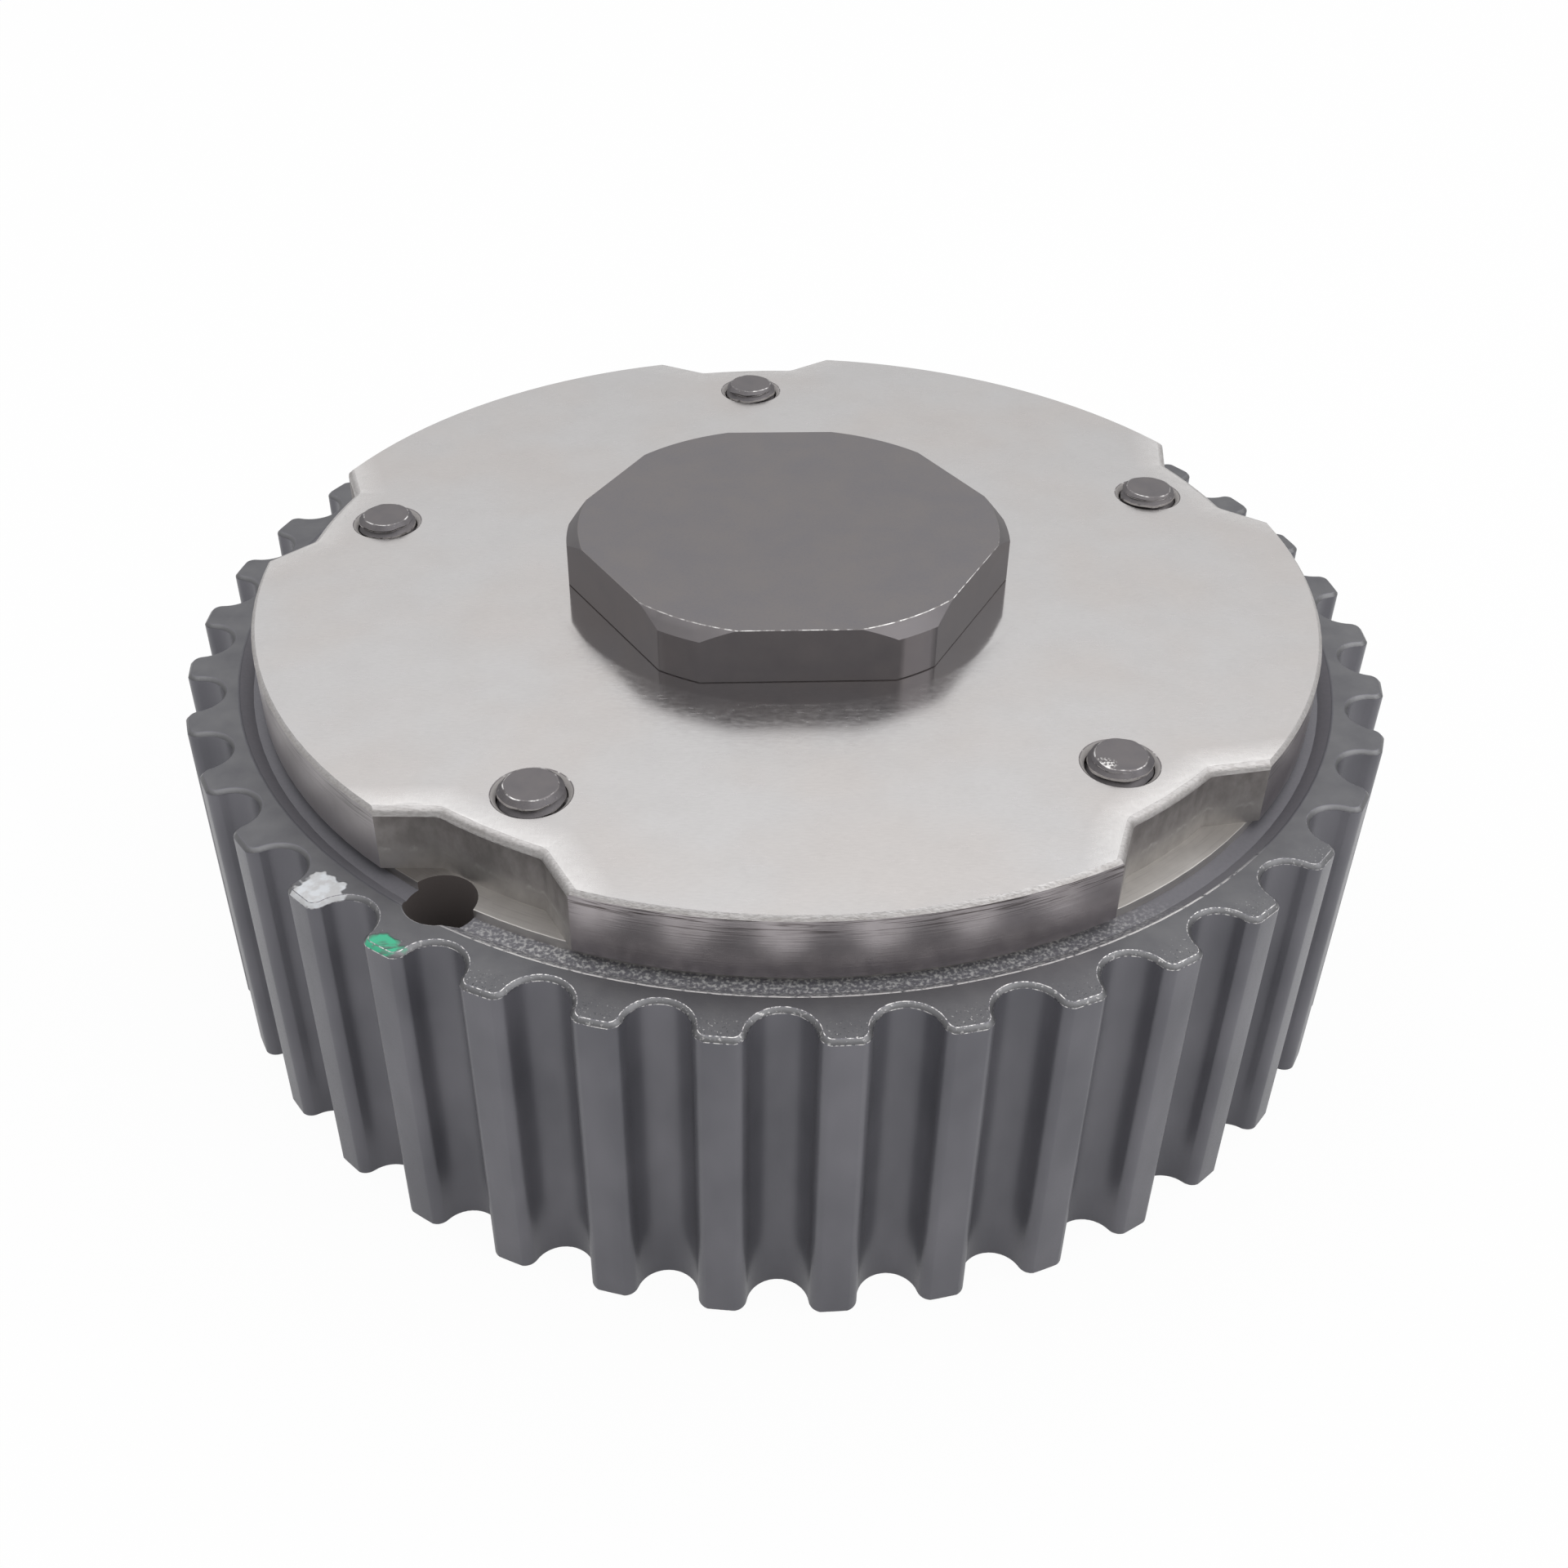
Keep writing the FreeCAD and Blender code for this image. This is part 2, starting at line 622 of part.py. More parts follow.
def closure_plug():
    body = new_body("closure_plug")
    top = COVER_TOP + d["plug_head_height"]
    corner = d["plug_flats"] / root(as_size(3))
    head = new_sketch(body, "head_outline", lift=COVER_TOP)
    hexagon(head, corner)
    extrude(body, "Pad", head, d["plug_head_height"], "head")
    neck_end = COVER_TOP - d["plug_neck_length"]
    chamfer = d["plug_neck_chamfer"]
    neck = new_sketch(body, "neck_section", "XZ_Plane")
    outline(neck, [
        (ZERO, neck_end), (PLUG_NECK - chamfer, neck_end), (PLUG_NECK, neck_end + chamfer),
        (PLUG_NECK, COVER_TOP), (ZERO, COVER_TOP)])
    spin(body, "Revolution", neck, "neck")
    # The corners are turned to one radius and bevelled at 45 degrees
    turned_radius = corner - d["plug_corner_cut"]
    top_radius = d["plug_flats"] / 2 + d["plug_bevel_reach"]
    outside = corner + CLEAR
    corners = new_sketch(body, "corner_section", "XZ_Plane")
    outline(corners, [
        (turned_radius, COVER_TOP - CLEAR), (outside, COVER_TOP - CLEAR), (outside, top + CLEAR),
        (top_radius - CLEAR, top + CLEAR), (turned_radius, top - (turned_radius - top_radius))])
    spin(body, "Groove", corners, "turned_corners")
    turn_body(body, d["plug_flat_angle"])


def plug_seal_ring():
    """The ring under the plug's head, squeezed flat above and below."""
    bevel = d["plug_seal_bevel"]
    low = COVER_TOP - d["plug_seal_height"]
    turned(
        "plug_seal_ring",
        (PLUG_SEAL_IN + bevel, low), (PLUG_SEAL_OUT - bevel, low), (PLUG_SEAL_OUT, low + bevel),
        (PLUG_SEAL_OUT, COVER_TOP - bevel), (PLUG_SEAL_OUT - bevel, COVER_TOP),
        (PLUG_SEAL_IN + bevel, COVER_TOP), (PLUG_SEAL_IN, COVER_TOP - bevel), (PLUG_SEAL_IN, low + bevel))


def vane(body, half_angle, name):
    sketch = new_sketch(body, name + "_outline", lift=ROTOR_BOTTOM)
    inside = HUB_RADIUS - CLEAR
    outline(sketch, [
        polar(inside, -half_angle), polar(VANE_RADIUS, -half_angle) + (VANE_RADIUS, 1),
        polar(VANE_RADIUS, half_angle), polar(inside, half_angle)])
    return extrude(body, "Pad", sketch, ROTOR_HEIGHT, name)


def oil_hole(body, height, side, name):
    """A radial hole beside a vane, from the middle out through the hub."""
    angle = (d["vane_half_angle"] + d["oil_hole_offset_angle"]) * side
    sketch = new_sketch(body, name + "_outline", "YZ_Plane", swing=angle)
    circle(sketch, ZERO, height, d["oil_hole_radius"])
    return extrude(body, "Pocket", sketch, HUB_RADIUS + CLEAR, name, backwards=True)


def rotor():
    """Hub and vanes, with the wide vane on +X before the rotor is turned to its stop."""
    seat = PILOT_TOP + d["bolt_flange"]
    body = turned(
        "rotor",
        (d["pilot_radius"], JOURNAL_END), (JOURNAL_RADIUS, JOURNAL_END), (JOURNAL_RADIUS, ROTOR_BOTTOM),
        (HUB_RADIUS, ROTOR_BOTTOM), (HUB_RADIUS, ROTOR_TOP),
        (d["bolt_seat_radius"], ROTOR_TOP), (d["bolt_seat_radius"], seat), (d["bolt_hole_radius"], seat),
        (d["bolt_hole_radius"], PILOT_TOP), (d["pilot_radius"], PILOT_TOP))
    holes = [oil_hole(body, PILOT_TOP - d["oil_hole_rise"], 1, "advance_hole")]
    ring_pattern(body, holes, d["chamber_count"], "advance_holes")
    holes = [oil_hole(body, PILOT_TOP + d["oil_hole_rise"], -1, "retard_hole")]
    ring_pattern(body, holes, d["chamber_count"], "retard_holes")
    ring_pattern(body, [vane(body, d["vane_half_angle"], "vane")], d["chamber_count"], "vanes")
    vane(body, d["lock_vane_half_angle"], "lock_vane")
    slot = new_sketch(body, "vane_slot_outline", lift=ROTOR_TOP)
    half = d["slot_width"] / 2
    rectangle(slot, VANE_SLOT_FLOOR, VANE_RADIUS + CLEAR, -half, half)
    cut = extrude(body, "Pocket", slot, ROTOR_HEIGHT, "vane_slot")
    ring_pattern(body, [cut], d["chamber_count"], "vane_slots")
    guide = new_sketch(body, "pin_guide_outline", lift=ROTOR_TOP)
    circle(guide, LOCK_CIRCLE, ZERO, PIN_GUIDE)
    extrude(body, "Pocket", guide, ROTOR_HEIGHT, "pin_guide")
    chamber = new_sketch(body, "pin_chamber_outline", lift=ROTOR_TOP)
    circle(chamber, LOCK_CIRCLE, ZERO, PIN_CHAMBER)
    extrude(body, "Pocket", chamber, ROTOR_TOP - PIN_SHOULDER, "pin_chamber")
    dowel = new_sketch(body, "dowel_hole_outline", lift=JOURNAL_END)
    circle(dowel, DOWEL_CIRCLE, ZERO, d["dowel_radius"])
    extrude(body, "Pocket", dowel, d["dowel_depth"], "dowel_hole", backwards=True)
    turn_body(body, LOCK_ANGLE)


def strip_seal(label, inner, outer, tip_outward, angle):
    """A strip that slides in a slot, with its tip rounded to the bore or hub that it runs on."""
    body = new_body(label)
    sketch = new_sketch(body, label + "_outline", lift=STRIP_BOTTOM)
    half = d["strip_width"] / 2
    inner_x = root(inner * inner - half * half)
    outer_x = root(outer * outer - half * half)
    if tip_outward:
        points = [(inner, -half), (outer_x, -half, outer, 1), (outer_x, half), (inner, half)]
    else:
        points = [(inner_x, -half), (outer, -half), (outer, half), (inner_x, half, inner, -1)]
    outline(sketch, points)
    extrude(body, "Pad", sketch, STRIP_HEIGHT, label + "_strip")
    turn_body(body, angle)


def leaf_spring(label, floor, side, angle):
    """A thin arched strip whose ends stand on the slot's floor. Side 1 bows outwards."""
    body = new_body(label)
    sketch = new_sketch(body, label + "_outline", "XZ_Plane")
    low = STRIP_BOTTOM + d["leaf_end_gap"]
    high = STRIP_BOTTOM + STRIP_HEIGHT - d["leaf_end_gap"]
    half = (high - low) / 2
    play = (d["leaf_space"] - d["leaf_thickness"]) / 10
    bow = d["leaf_space"] - d["leaf_thickness"] - 2 * play
    bend = (half * half + bow * bow) / (2 * bow)
    near = floor + side * play
    far = near + side * d["leaf_thickness"]
    outline(sketch, [(near, low), (far, low, bend, side), (far, high), (near, high, bend, -side)])
    extrude(body, "Pad", sketch, d["leaf_width"], label + "_strip", both_ways=True)
    turn_body(body, angle)


def running_seals():
    """Seal strips and their leaf springs in the tips of the five vanes and the five webs."""
    for i in range(int(d["chamber_count"].value)):
        number = i + 1
        vane_angle = LOCK_ANGLE + ONE_STEP * i
        web_angle = d["web_angle"] + ONE_STEP * i
        strip_seal("vane_seal_%d" % number, VANE_SLOT_FLOOR + d["leaf_space"],
                   CHAMBER_RADIUS - d["strip_tip_play"], True, vane_angle)
        leaf_spring("vane_seal_spring_%d" % number, VANE_SLOT_FLOOR, 1, vane_angle)
        strip_seal("web_seal_%d" % number, HUB_RADIUS + d["strip_tip_play"],
                   WEB_SLOT_FLOOR - d["leaf_space"], False, web_angle)
        leaf_spring("web_seal_spring_%d" % number, WEB_SLOT_FLOOR, -1, web_angle)


def lock_pin():
    chamfer = d["pin_tip_chamfer"]
    floor = PIN_BOTTOM + d["pin_floor"]
    body = turned(
        "lock_pin",
        (ZERO, PIN_BOTTOM), (d["pin_radius"] - chamfer, PIN_BOTTOM), (d["pin_radius"], PIN_BOTTOM + chamfer),
        (d["pin_radius"], PIN_FLANGE_BOTTOM), (PIN_FLANGE, PIN_FLANGE_BOTTOM), (PIN_FLANGE, PIN_TOP),
        (PIN_BORE, PIN_TOP), (PIN_BORE, floor), (ZERO, floor))
    move_body(body, LOCK_CIRCLE, LOCK_ANGLE)


def lock_pin_spring():
    """A coil of wire, six-sided to keep its faces few."""
    body = new_body("lock_pin_spring")
    wire = d["spring_wire_radius"]
    low = PIN_BOTTOM + d["pin_floor"] + wire
    height = SEAT_BOTTOM - wire - low
    section = new_sketch(body, "wire_section", "XZ_Plane")
    hexagon(section, wire, d["spring_coil_radius"], low)
    coil = body.newObject("PartDesign::AdditiveHelix", "coil")
    coil.Profile = section
    coil.ReferenceAxis = (section, ["V_Axis"])
    coil.Mode = "height-turns-angle"
    coil.Height = height.value
    coil.setExpression("Height", height.text)
    coil.Turns = d["spring_turns"].value
    coil.setExpression("Turns", d["spring_turns"].text)
    move_body(body, LOCK_CIRCLE, LOCK_ANGLE)


def lock_spring_seat():
    vent = d["spring_seat_vent_radius"]
    end = SEAT_BOTTOM - d["spring_seat_spigot"]
    body = turned(
        "lock_spring_seat",
        (vent, end), (SPIGOT_RADIUS, end), (SPIGOT_RADIUS, SEAT_BOTTOM), (PIN_FLANGE, SEAT_BOTTOM),
        (PIN_FLANGE, SEAT_TOP), (vent, SEAT_TOP))
    move_body(body, LOCK_CIRCLE, LOCK_ANGLE)


def lock_bushing():
    bottom = REAR_SEAT - d["bushing_length"]
    body = turned(
        "lock_bushing",
        (BUSHING_BORE, bottom), (BUSHING_RADIUS, bottom), (BUSHING_RADIUS, REAR_SEAT),
        (BUSHING_BORE, REAR_SEAT))
    move_body(body, LOCK_CIRCLE, LOCK_ANGLE)


def cam_dowel():
    top = JOURNAL_END + d["dowel_depth"]
    body = turned(
        "cam_dowel",
        (ZERO, top - d["dowel_length"]), (d["dowel_radius"], top - d["dowel_length"]),
        (d["dowel_radius"], top), (ZERO, top))
    move_body(body, DOWEL_CIRCLE, LOCK_ANGLE)


def check_objects():
    """Stop if any feature failed, if a cut took nothing away, or if a body isn't a sound solid."""
    doc.recompute()
    for item in doc.Objects:
        if "Invalid" in item.State or "Error" in item.State:
            raise RuntimeError("%s: %s" % (item.Name, item.State))
    bodies = [item for item in doc.Objects if item.TypeId == "PartDesign::Body"]
    for body in bodies:
        if body.Shape.isNull() or not body.Shape.isValid():
            raise RuntimeError("%s has no valid shape" % body.Label)
        for feature in body.Group:
            if feature.TypeId in ("PartDesign::Pocket", "PartDesign::Groove"):
                before = feature.BaseFeature.Shape.Volume
                if feature.Shape.Volume > before - 1e-6:
                    raise RuntimeError("%s cuts nothing" % feature.Name)
    return bodies


pulley()
front_cover()
rear_cover()
cover_seal("front_cover_seal", FRONT - d["cover_seal_height"])
cover_seal("rear_cover_seal", REAR_SEAT)
cover_screws()
closure_plug()
plug_seal_ring()
rotor()
running_seals()
lock_pin()
lock_pin_spring()
lock_spring_seat()
lock_bushing()
cam_dowel()

os.makedirs("parts", exist_ok=True)
for body in check_objects():
    body.Shape.exportStep("parts/%s.step" % body.Label)
    print("%-22s %9.1f mm3" % (body.Label, body.Shape.Volume))
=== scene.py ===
"""Looks of a belt-driven cam phaser: finishes, worn edges, threads, paint marks and the studio."""

import math

import bmesh
import bpy
from bpy.props import FloatProperty, FloatVectorProperty, IntProperty, PointerProperty
from mathutils import Matrix, Vector, noise


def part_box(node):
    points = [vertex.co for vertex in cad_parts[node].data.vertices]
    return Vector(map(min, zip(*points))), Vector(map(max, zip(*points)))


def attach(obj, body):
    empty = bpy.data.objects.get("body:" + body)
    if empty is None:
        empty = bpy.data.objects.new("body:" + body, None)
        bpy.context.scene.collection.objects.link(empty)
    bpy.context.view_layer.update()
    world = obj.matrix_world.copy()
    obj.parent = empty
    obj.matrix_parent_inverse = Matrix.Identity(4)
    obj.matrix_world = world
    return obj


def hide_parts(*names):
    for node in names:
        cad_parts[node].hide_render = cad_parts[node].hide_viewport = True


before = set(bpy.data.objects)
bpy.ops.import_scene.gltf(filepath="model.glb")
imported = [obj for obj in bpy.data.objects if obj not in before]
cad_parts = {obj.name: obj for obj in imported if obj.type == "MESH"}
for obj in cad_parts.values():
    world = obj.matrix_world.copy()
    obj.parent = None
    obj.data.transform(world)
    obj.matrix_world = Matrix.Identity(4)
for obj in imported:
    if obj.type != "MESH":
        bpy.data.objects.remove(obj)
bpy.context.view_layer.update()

bl_info = {
    "name": "Cam phaser looks",
    "version": (1, 0, 0),
    "blender": (4, 5, 0),
    "location": "View3D > Sidebar > Cam phaser",
    "description": "Finishes, worn edges, threads, paint marks and a studio for a cam phaser",
    "category": "Object",
}

MM = 0.001
NEAR = 0.02 * MM

# Levels of the solids, and the teeth's reach
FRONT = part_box("pulley")[1].z
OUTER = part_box("pulley")[1].x
COVER_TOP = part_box("front_cover")[1].z
PLUG_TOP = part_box("closure_plug")[1].z
SCREW_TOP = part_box("cover_screws")[1].z
REAR_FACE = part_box("rear_cover")[0].z
ROTOR_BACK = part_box("rotor")[0].z

# Screws, notches and vanes per turn, and the angle from one to the next in degrees
SECTORS = 5
STEP = 360 / SECTORS

# Corners between faces, in degrees: square ones have more than SQUARE, and those along chamfers
# have more than SHALLOW
SQUARE, SHALLOW = 60, 20

# Z of a face's normal: level faces have more than LEVEL or NEARLY_LEVEL, slopes more than SLOPED,
# and upright walls less than UPRIGHT either way
LEVEL, NEARLY_LEVEL, SLOPED, UPRIGHT = 0.995, 0.9, 0.3, 0.06

# Radii that part the pulley's zones: the edge of the cover's seat, the start of the tooth face,
# the grooves' roots and the near side of the timing hole, which is less deep than HOLE_DEPTH
SEAT_EDGE, FACE_START, ROOTS = 41.4 * MM, 43 * MM, 44.5 * MM
HOLE_SIDE, HOLE_DEPTH = 38.7 * MM, 13 * MM

# Radii that part the front cover's zones: its plug hole, the ring of its screw holes, the inside
# of the rolled edges and of the notch walls, and its rim
PLUG_HOLE, SCREW_RING, ROLL_START = 15 * MM, (30 * MM, 38 * MM), 37.5 * MM
WALL_START, RIM_START = 38.4 * MM, 41.9 * MM

# Outside this radius the plug's lower corners are the foot of its hexagon
PLUG_FOOT = 15.5 * MM

# Height up to which the screws' heads reach, and the chamfer on the solid screws' front ends
HEADS_TOP, SCREW_CHAMFER = 4 * MM, 0.42 * MM

# Radius round the plug inside which the plate has kept its polish, in millimetres
PLUG_RING = 18.8

# The first notch's angle in degrees, and its floor's radius and the line of its slanted end in
# millimetres
NOTCH_ANGLE, NOTCH_FLOOR = 22.8, 39.247
NOTCH_END, NOTCH_SLANT = (39.02, 4.205), (0.516, 0.856)

# The middle of the painted shade on the seat, and where the painted sheen on the rim starts
# towards the left, in millimetres
SEAT_SHADE = (-28.5, -30.0, FRONT / MM)
RIM_SHEEN_START = -24

# The photograph's camera: its tilt below the horizon and its turn to the right in radians, its
# place, its lens and sensor in millimetres, and half the frame's width in pixels
TILT, TURN = 0.65054, 0.02372
EYE = Vector((-3.63, -121.74, 103.06)) * MM
LENS, SENSOR, HALF = 39.85, 36.0, 960.0


def sight_axes():
    """The camera's right, up and backward directions."""
    side, forth = math.sin(TURN), math.cos(TURN)
    right = Vector((forth, -side * math.cos(TILT), side * math.sin(TILT)))
    ahead = Vector((side, forth * math.cos(TILT), -forth * math.sin(TILT)))
    return right, right.cross(ahead), -ahead


def seen_on(across, down, height):
    """Where a pixel of the 1920 pixel frame meets a level plane of the part, in millimetres."""
    right, up, back = sight_axes()
    focal = LENS / SENSOR * 2 * HALF
    ray = right * ((across - HALF) / focal) + up * ((HALF - down) / focal) - back
    point = EYE + ray * ((height - EYE.z) / ray.z)
    return tuple(point / MM)


# Middles of the white and the green paint mark, and of the scuffs on the front right screw's end
MARKS = (seen_on(390, 1094, FRONT), seen_on(461, 1156, FRONT))
SCUFFS = seen_on(1353, 934, SCREW_TOP)


def tone(red, green, blue):
    """A scene-linear colour from screen values of 0 to 255."""
    shares = (red / 255, green / 255, blue / 255)
    return tuple(s / 12.92 if s <= 0.04045 else ((s + 0.055) / 1.055) ** 2.4 for s in shares)


def length(name, description, default):
    """A size of up to 10 mm."""
    return FloatProperty(name=name, description=description, default=default, min=0.0, max=10 * MM,
                         subtype="DISTANCE", unit="LENGTH", precision=5)


def colour(name, description, *default):
    """A colour given by its screen values."""
    return FloatVectorProperty(name=name, description=description, default=tone(*default), min=0.0,
                               max=1.0, size=3, subtype="COLOR")


class PhaserSizes(bpy.types.PropertyGroup):
    """Sizes of the small forms that the looks add to the solids."""
    tooth_chamfer: length("Tooth chamfer", "Width of the chamfer along the teeth", 0.3 * MM)
    chamfer_burr: length("Chamfer burr", "Width of the bright lines along it", 0.035 * MM)
    face_round: length("Face round", "Rounding where the slope meets the tooth face", 0.1 * MM)
    broken_edge: length("Broken edge", "Width of the bevel on turned edges", 0.1 * MM)
    cover_edge: length("Cover edge", "Width of the bevel round the front cover's rim", 0.14 * MM)
    plug_edge: length("Plug edge", "Width of the nicked edges of plug, sinks and ends", 0.05 * MM)
    plug_foot: length("Plug foot", "Width of the chamfer under the plug's head", 0.08 * MM)
    thread_pitch: length("Thread pitch", "Pitch of the cover screws' thread", 0.8 * MM)
    thread_depth: length("Thread depth", "Depth of the cover screws' thread", 0.36 * MM)
    thread_start: length("Thread start", "Width of the lead-in on the thread's end", 0.38 * MM)
    thread_taper: length("Thread taper", "How much thinner the thread is at its end", 0.12 * MM)
    thread_wear: length("Thread wear", "How far the worn turns stray from true", 0.08 * MM)
    thread_turns: IntProperty(name="Thread turns", description="Turns of thread made for an end",
                              default=5, min=4, max=20)


class PhaserColours(bpy.types.PropertyGroup):
    """Colours of the finishes, as they render under a white light."""
    plate: colour("Plate", "Ground face of the front cover", 210, 208, 208)
    plate_tint: colour("Plate tint", "Faint patches on the front cover", 209, 203, 200)
    rim: colour("Rim", "Turned rim of the front cover", 176, 170, 172)
    # Also the colour of the painted shade on the seat
    rim_dark: colour("Rim scratches", "Scratches and stains on the rim", 90, 84, 83)
    notch: colour("Notch wall", "Walls of the front cover's notches", 173, 169, 167)
    # Also the colour of the painted glints on the teeth, the land and the slope edge, and of the
    # rim's painted sheen
    burnish_and_glint: colour("Burnish", "Worn metal on edges and rolled corners", 230, 228, 227)
    tooth_dark: colour("Tooth dark", "Darker clouds of the sintered teeth", 92, 92, 98)
    tooth_light: colour("Tooth light", "Lighter clouds of the sintered teeth", 118, 117, 123)
    face: colour("Tooth face", "Front face of the teeth", 125, 125, 127)
    # Also the lighter grain that is painted as a highlight on the land in front
    blast_and_highlight: colour("Land", "Grainy land round the cover's seat", 158, 158, 160)
    land: colour("Ground seat", "Ground face that carries the front cover", 210, 207, 203)
    plug: colour("Plug", "Flats of the closure plug", 124, 120, 121)
    plug_top: colour("Plug top", "Top of the closure plug and of the screws", 131, 127, 127)
    rotor: colour("Rotor", "Turned steel of the rotor", 176, 174, 172)
    hard: colour("Hard steel", "Ground and polished pins", 206, 205, 205)
    hole: colour("Blind hole", "Walls of the timing hole", 104, 97, 95)
    rubber: colour("Rubber", "Static seals", 38, 38, 40)
    plastic: colour("Seal strip", "Vane and web seals", 96, 84, 66)
    white_paint: colour("White paint", "First paint mark", 211, 214, 218)
    green_paint: colour("Green paint", "Second paint mark", 66, 180, 140)


class Signal:
    """A shader socket on which Python's operators add Math nodes."""

    def __init__(self, nodes, socket):
        self.nodes = nodes
        self.socket = socket

    def maths(self, operation, *others, clamp=False):
        settings = {"operation": operation, "use_clamp": clamp}
        return self.nodes.add("ShaderNodeMath", settings, dict(enumerate((self,) + others)))

    def __add__(self, other):
        return self.maths("ADD", other)

    def __sub__(self, other):
        return self.maths("SUBTRACT", other)

    def __mul__(self, other):
        return self.maths("MULTIPLY", other)

    def __rsub__(self, other):
        return self * -1.0 + other

    __radd__ = __add__
    __rmul__ = __mul__

    def above(self, level, softness):
        """0 well under a level and 1 well over it, with a soft step between."""
        return (self - level).maths("MULTIPLY_ADD", 1 / softness, 0.5, clamp=True)

    def below(self, level, softness):
        """1 well under a level and 0 well over it."""
        return (self - level).maths("MULTIPLY_ADD", -1 / softness, 0.5, clamp=True)


class Nodes:
    """A node tree being put together."""

    def __init__(self, owner):
        owner.use_nodes = True
        self.tree = owner.node_tree

    def add(self, kind, settings=None, sockets=None, output=0):
        """Any node: its settings are set first, then its sockets by name or number."""
        node = self.tree.nodes.new(kind)
        for name, value in (settings or {}).items():
            setattr(node, name, value)
        for name, value in (sockets or {}).items():
            self.feed(node.inputs[name], value)
        return Signal(self, node.outputs[output])

    def feed(self, socket, value):
        """Link a signal to a socket, or set the socket to a plain value."""
        if isinstance(value, Signal):
            self.tree.links.new(value.socket, socket)
        elif socket.type == "RGBA":
            socket.default_value = tuple(value)[:3] + (1.0,)
        else:
            socket.default_value = value

    def split(self, vector):
        """A vector's X, Y and Z."""
        return [self.add("ShaderNodeSeparateXYZ", sockets={0: vector}, output=axis)
                for axis in "XYZ"]

    def vectors(self, operation, output=0, **sockets):
        """A Vector Math node, fed first and second, and scale where it has one."""
        names = {"first": 0, "second": 1, "scale": "Scale"}
        return self.add("ShaderNodeVectorMath", {"operation": operation},
                        {names[name]: value for name, value in sockets.items()}, output)


class Finish(Nodes):
    """A material round one Principled shader, whose patterns are laid out in millimetres."""

    def __init__(self, name, roughness=0.5, metallic=1.0):
        self.material = bpy.data.materials.new(name)
        super().__init__(self.material)
        self.shader = self.tree.nodes["Principled BSDF"]
        self.shader.inputs["Roughness"].default_value = roughness
        self.shader.inputs["Metallic"].default_value = metallic
        metres = self.add("ShaderNodeTexCoord", output="Object")
        self.place = self.vectors("SCALE", first=metres, scale=1 / MM)
        self.x, self.y, self.z = self.split(self.place)
        self.radius = (self.x * self.x + self.y * self.y).maths("SQRT")
        turn = self.y.maths("ARCTAN2", self.x) * (OUTER / MM)
        self.turned = self.add("ShaderNodeCombineXYZ",
                               sockets={"X": turn, "Y": self.radius, "Z": self.z})

    def set(self, **sockets):
        """Feed the shader's own sockets, named with underscores for spaces."""
        for name, value in sockets.items():
            self.feed(self.shader.inputs[name.replace("_", " ").title()], value)

    def blend(self, factor, first, second):
        """One colour where the factor is 0 and the other where it is 1."""
        return self.add("ShaderNodeMix", {"data_type": "RGBA"}, {0: factor, 6: first, 7: second},
                        output=2)

    def noise(self, size, detail=2.0, stretch=(1, 1, 1), shift=(0, 0, 0), along=None):
        """Noise with features about size millimetres across, drawn out along a stretched axis."""
        scale = tuple(1 / (size * s) for s in stretch)
        place = self.add("ShaderNodeMapping", {"vector_type": "POINT"},
                         {"Vector": along or self.place, "Location": shift, "Scale": scale})
        return self.add("ShaderNodeTexNoise", {"noise_dimensions": "3D"},
                        {"Vector": place, "Scale": 1.0, "Detail": detail, "Roughness": 0.55})

    def spot(self, middle, wide, deep):
        """Distance from a point, as a share of an oval's half widths along X and Y."""
        away = self.vectors("SUBTRACT", first=self.place, second=middle)
        share = self.vectors("DIVIDE", first=away, second=(wide, deep, 1.0))
        return self.vectors("LENGTH", output="Value", first=share)

    def bump(self, height, depth):
        """A normal that follows a height, depth millimetres deep."""
        sockets = {"Height": height, "Distance": depth * MM, "Strength": 1.0}
        return self.add("ShaderNodeBump", sockets=sockets, output="Normal")


def frontal(finish, start=33, fade=10, lean=0.1):
    """1 in front of start and 0 behind, with fade between; a lean shifts it to the right."""
    return (finish.x * lean - finish.y).above(start, fade)


def notch_distance(finish):
    """How far a point of the plate lies from the nearest notch, in millimetres."""
    sector = math.radians(STEP)
    turn = finish.y.maths("ARCTAN2", finish.x) - (math.radians(NOTCH_ANGLE) - sector / 2)
    away = (turn.maths("FLOORED_MODULO", sector) - sector / 2).maths("ABSOLUTE")
    across = finish.radius * away.maths("SINE")
    out = finish.radius * away.maths("COSINE")
    slant = (across - NOTCH_END[1]) * NOTCH_SLANT[0] - (out - NOTCH_END[0]) * NOTCH_SLANT[1]
    return (NOTCH_FLOOR - finish.radius).maths("MAXIMUM", slant)


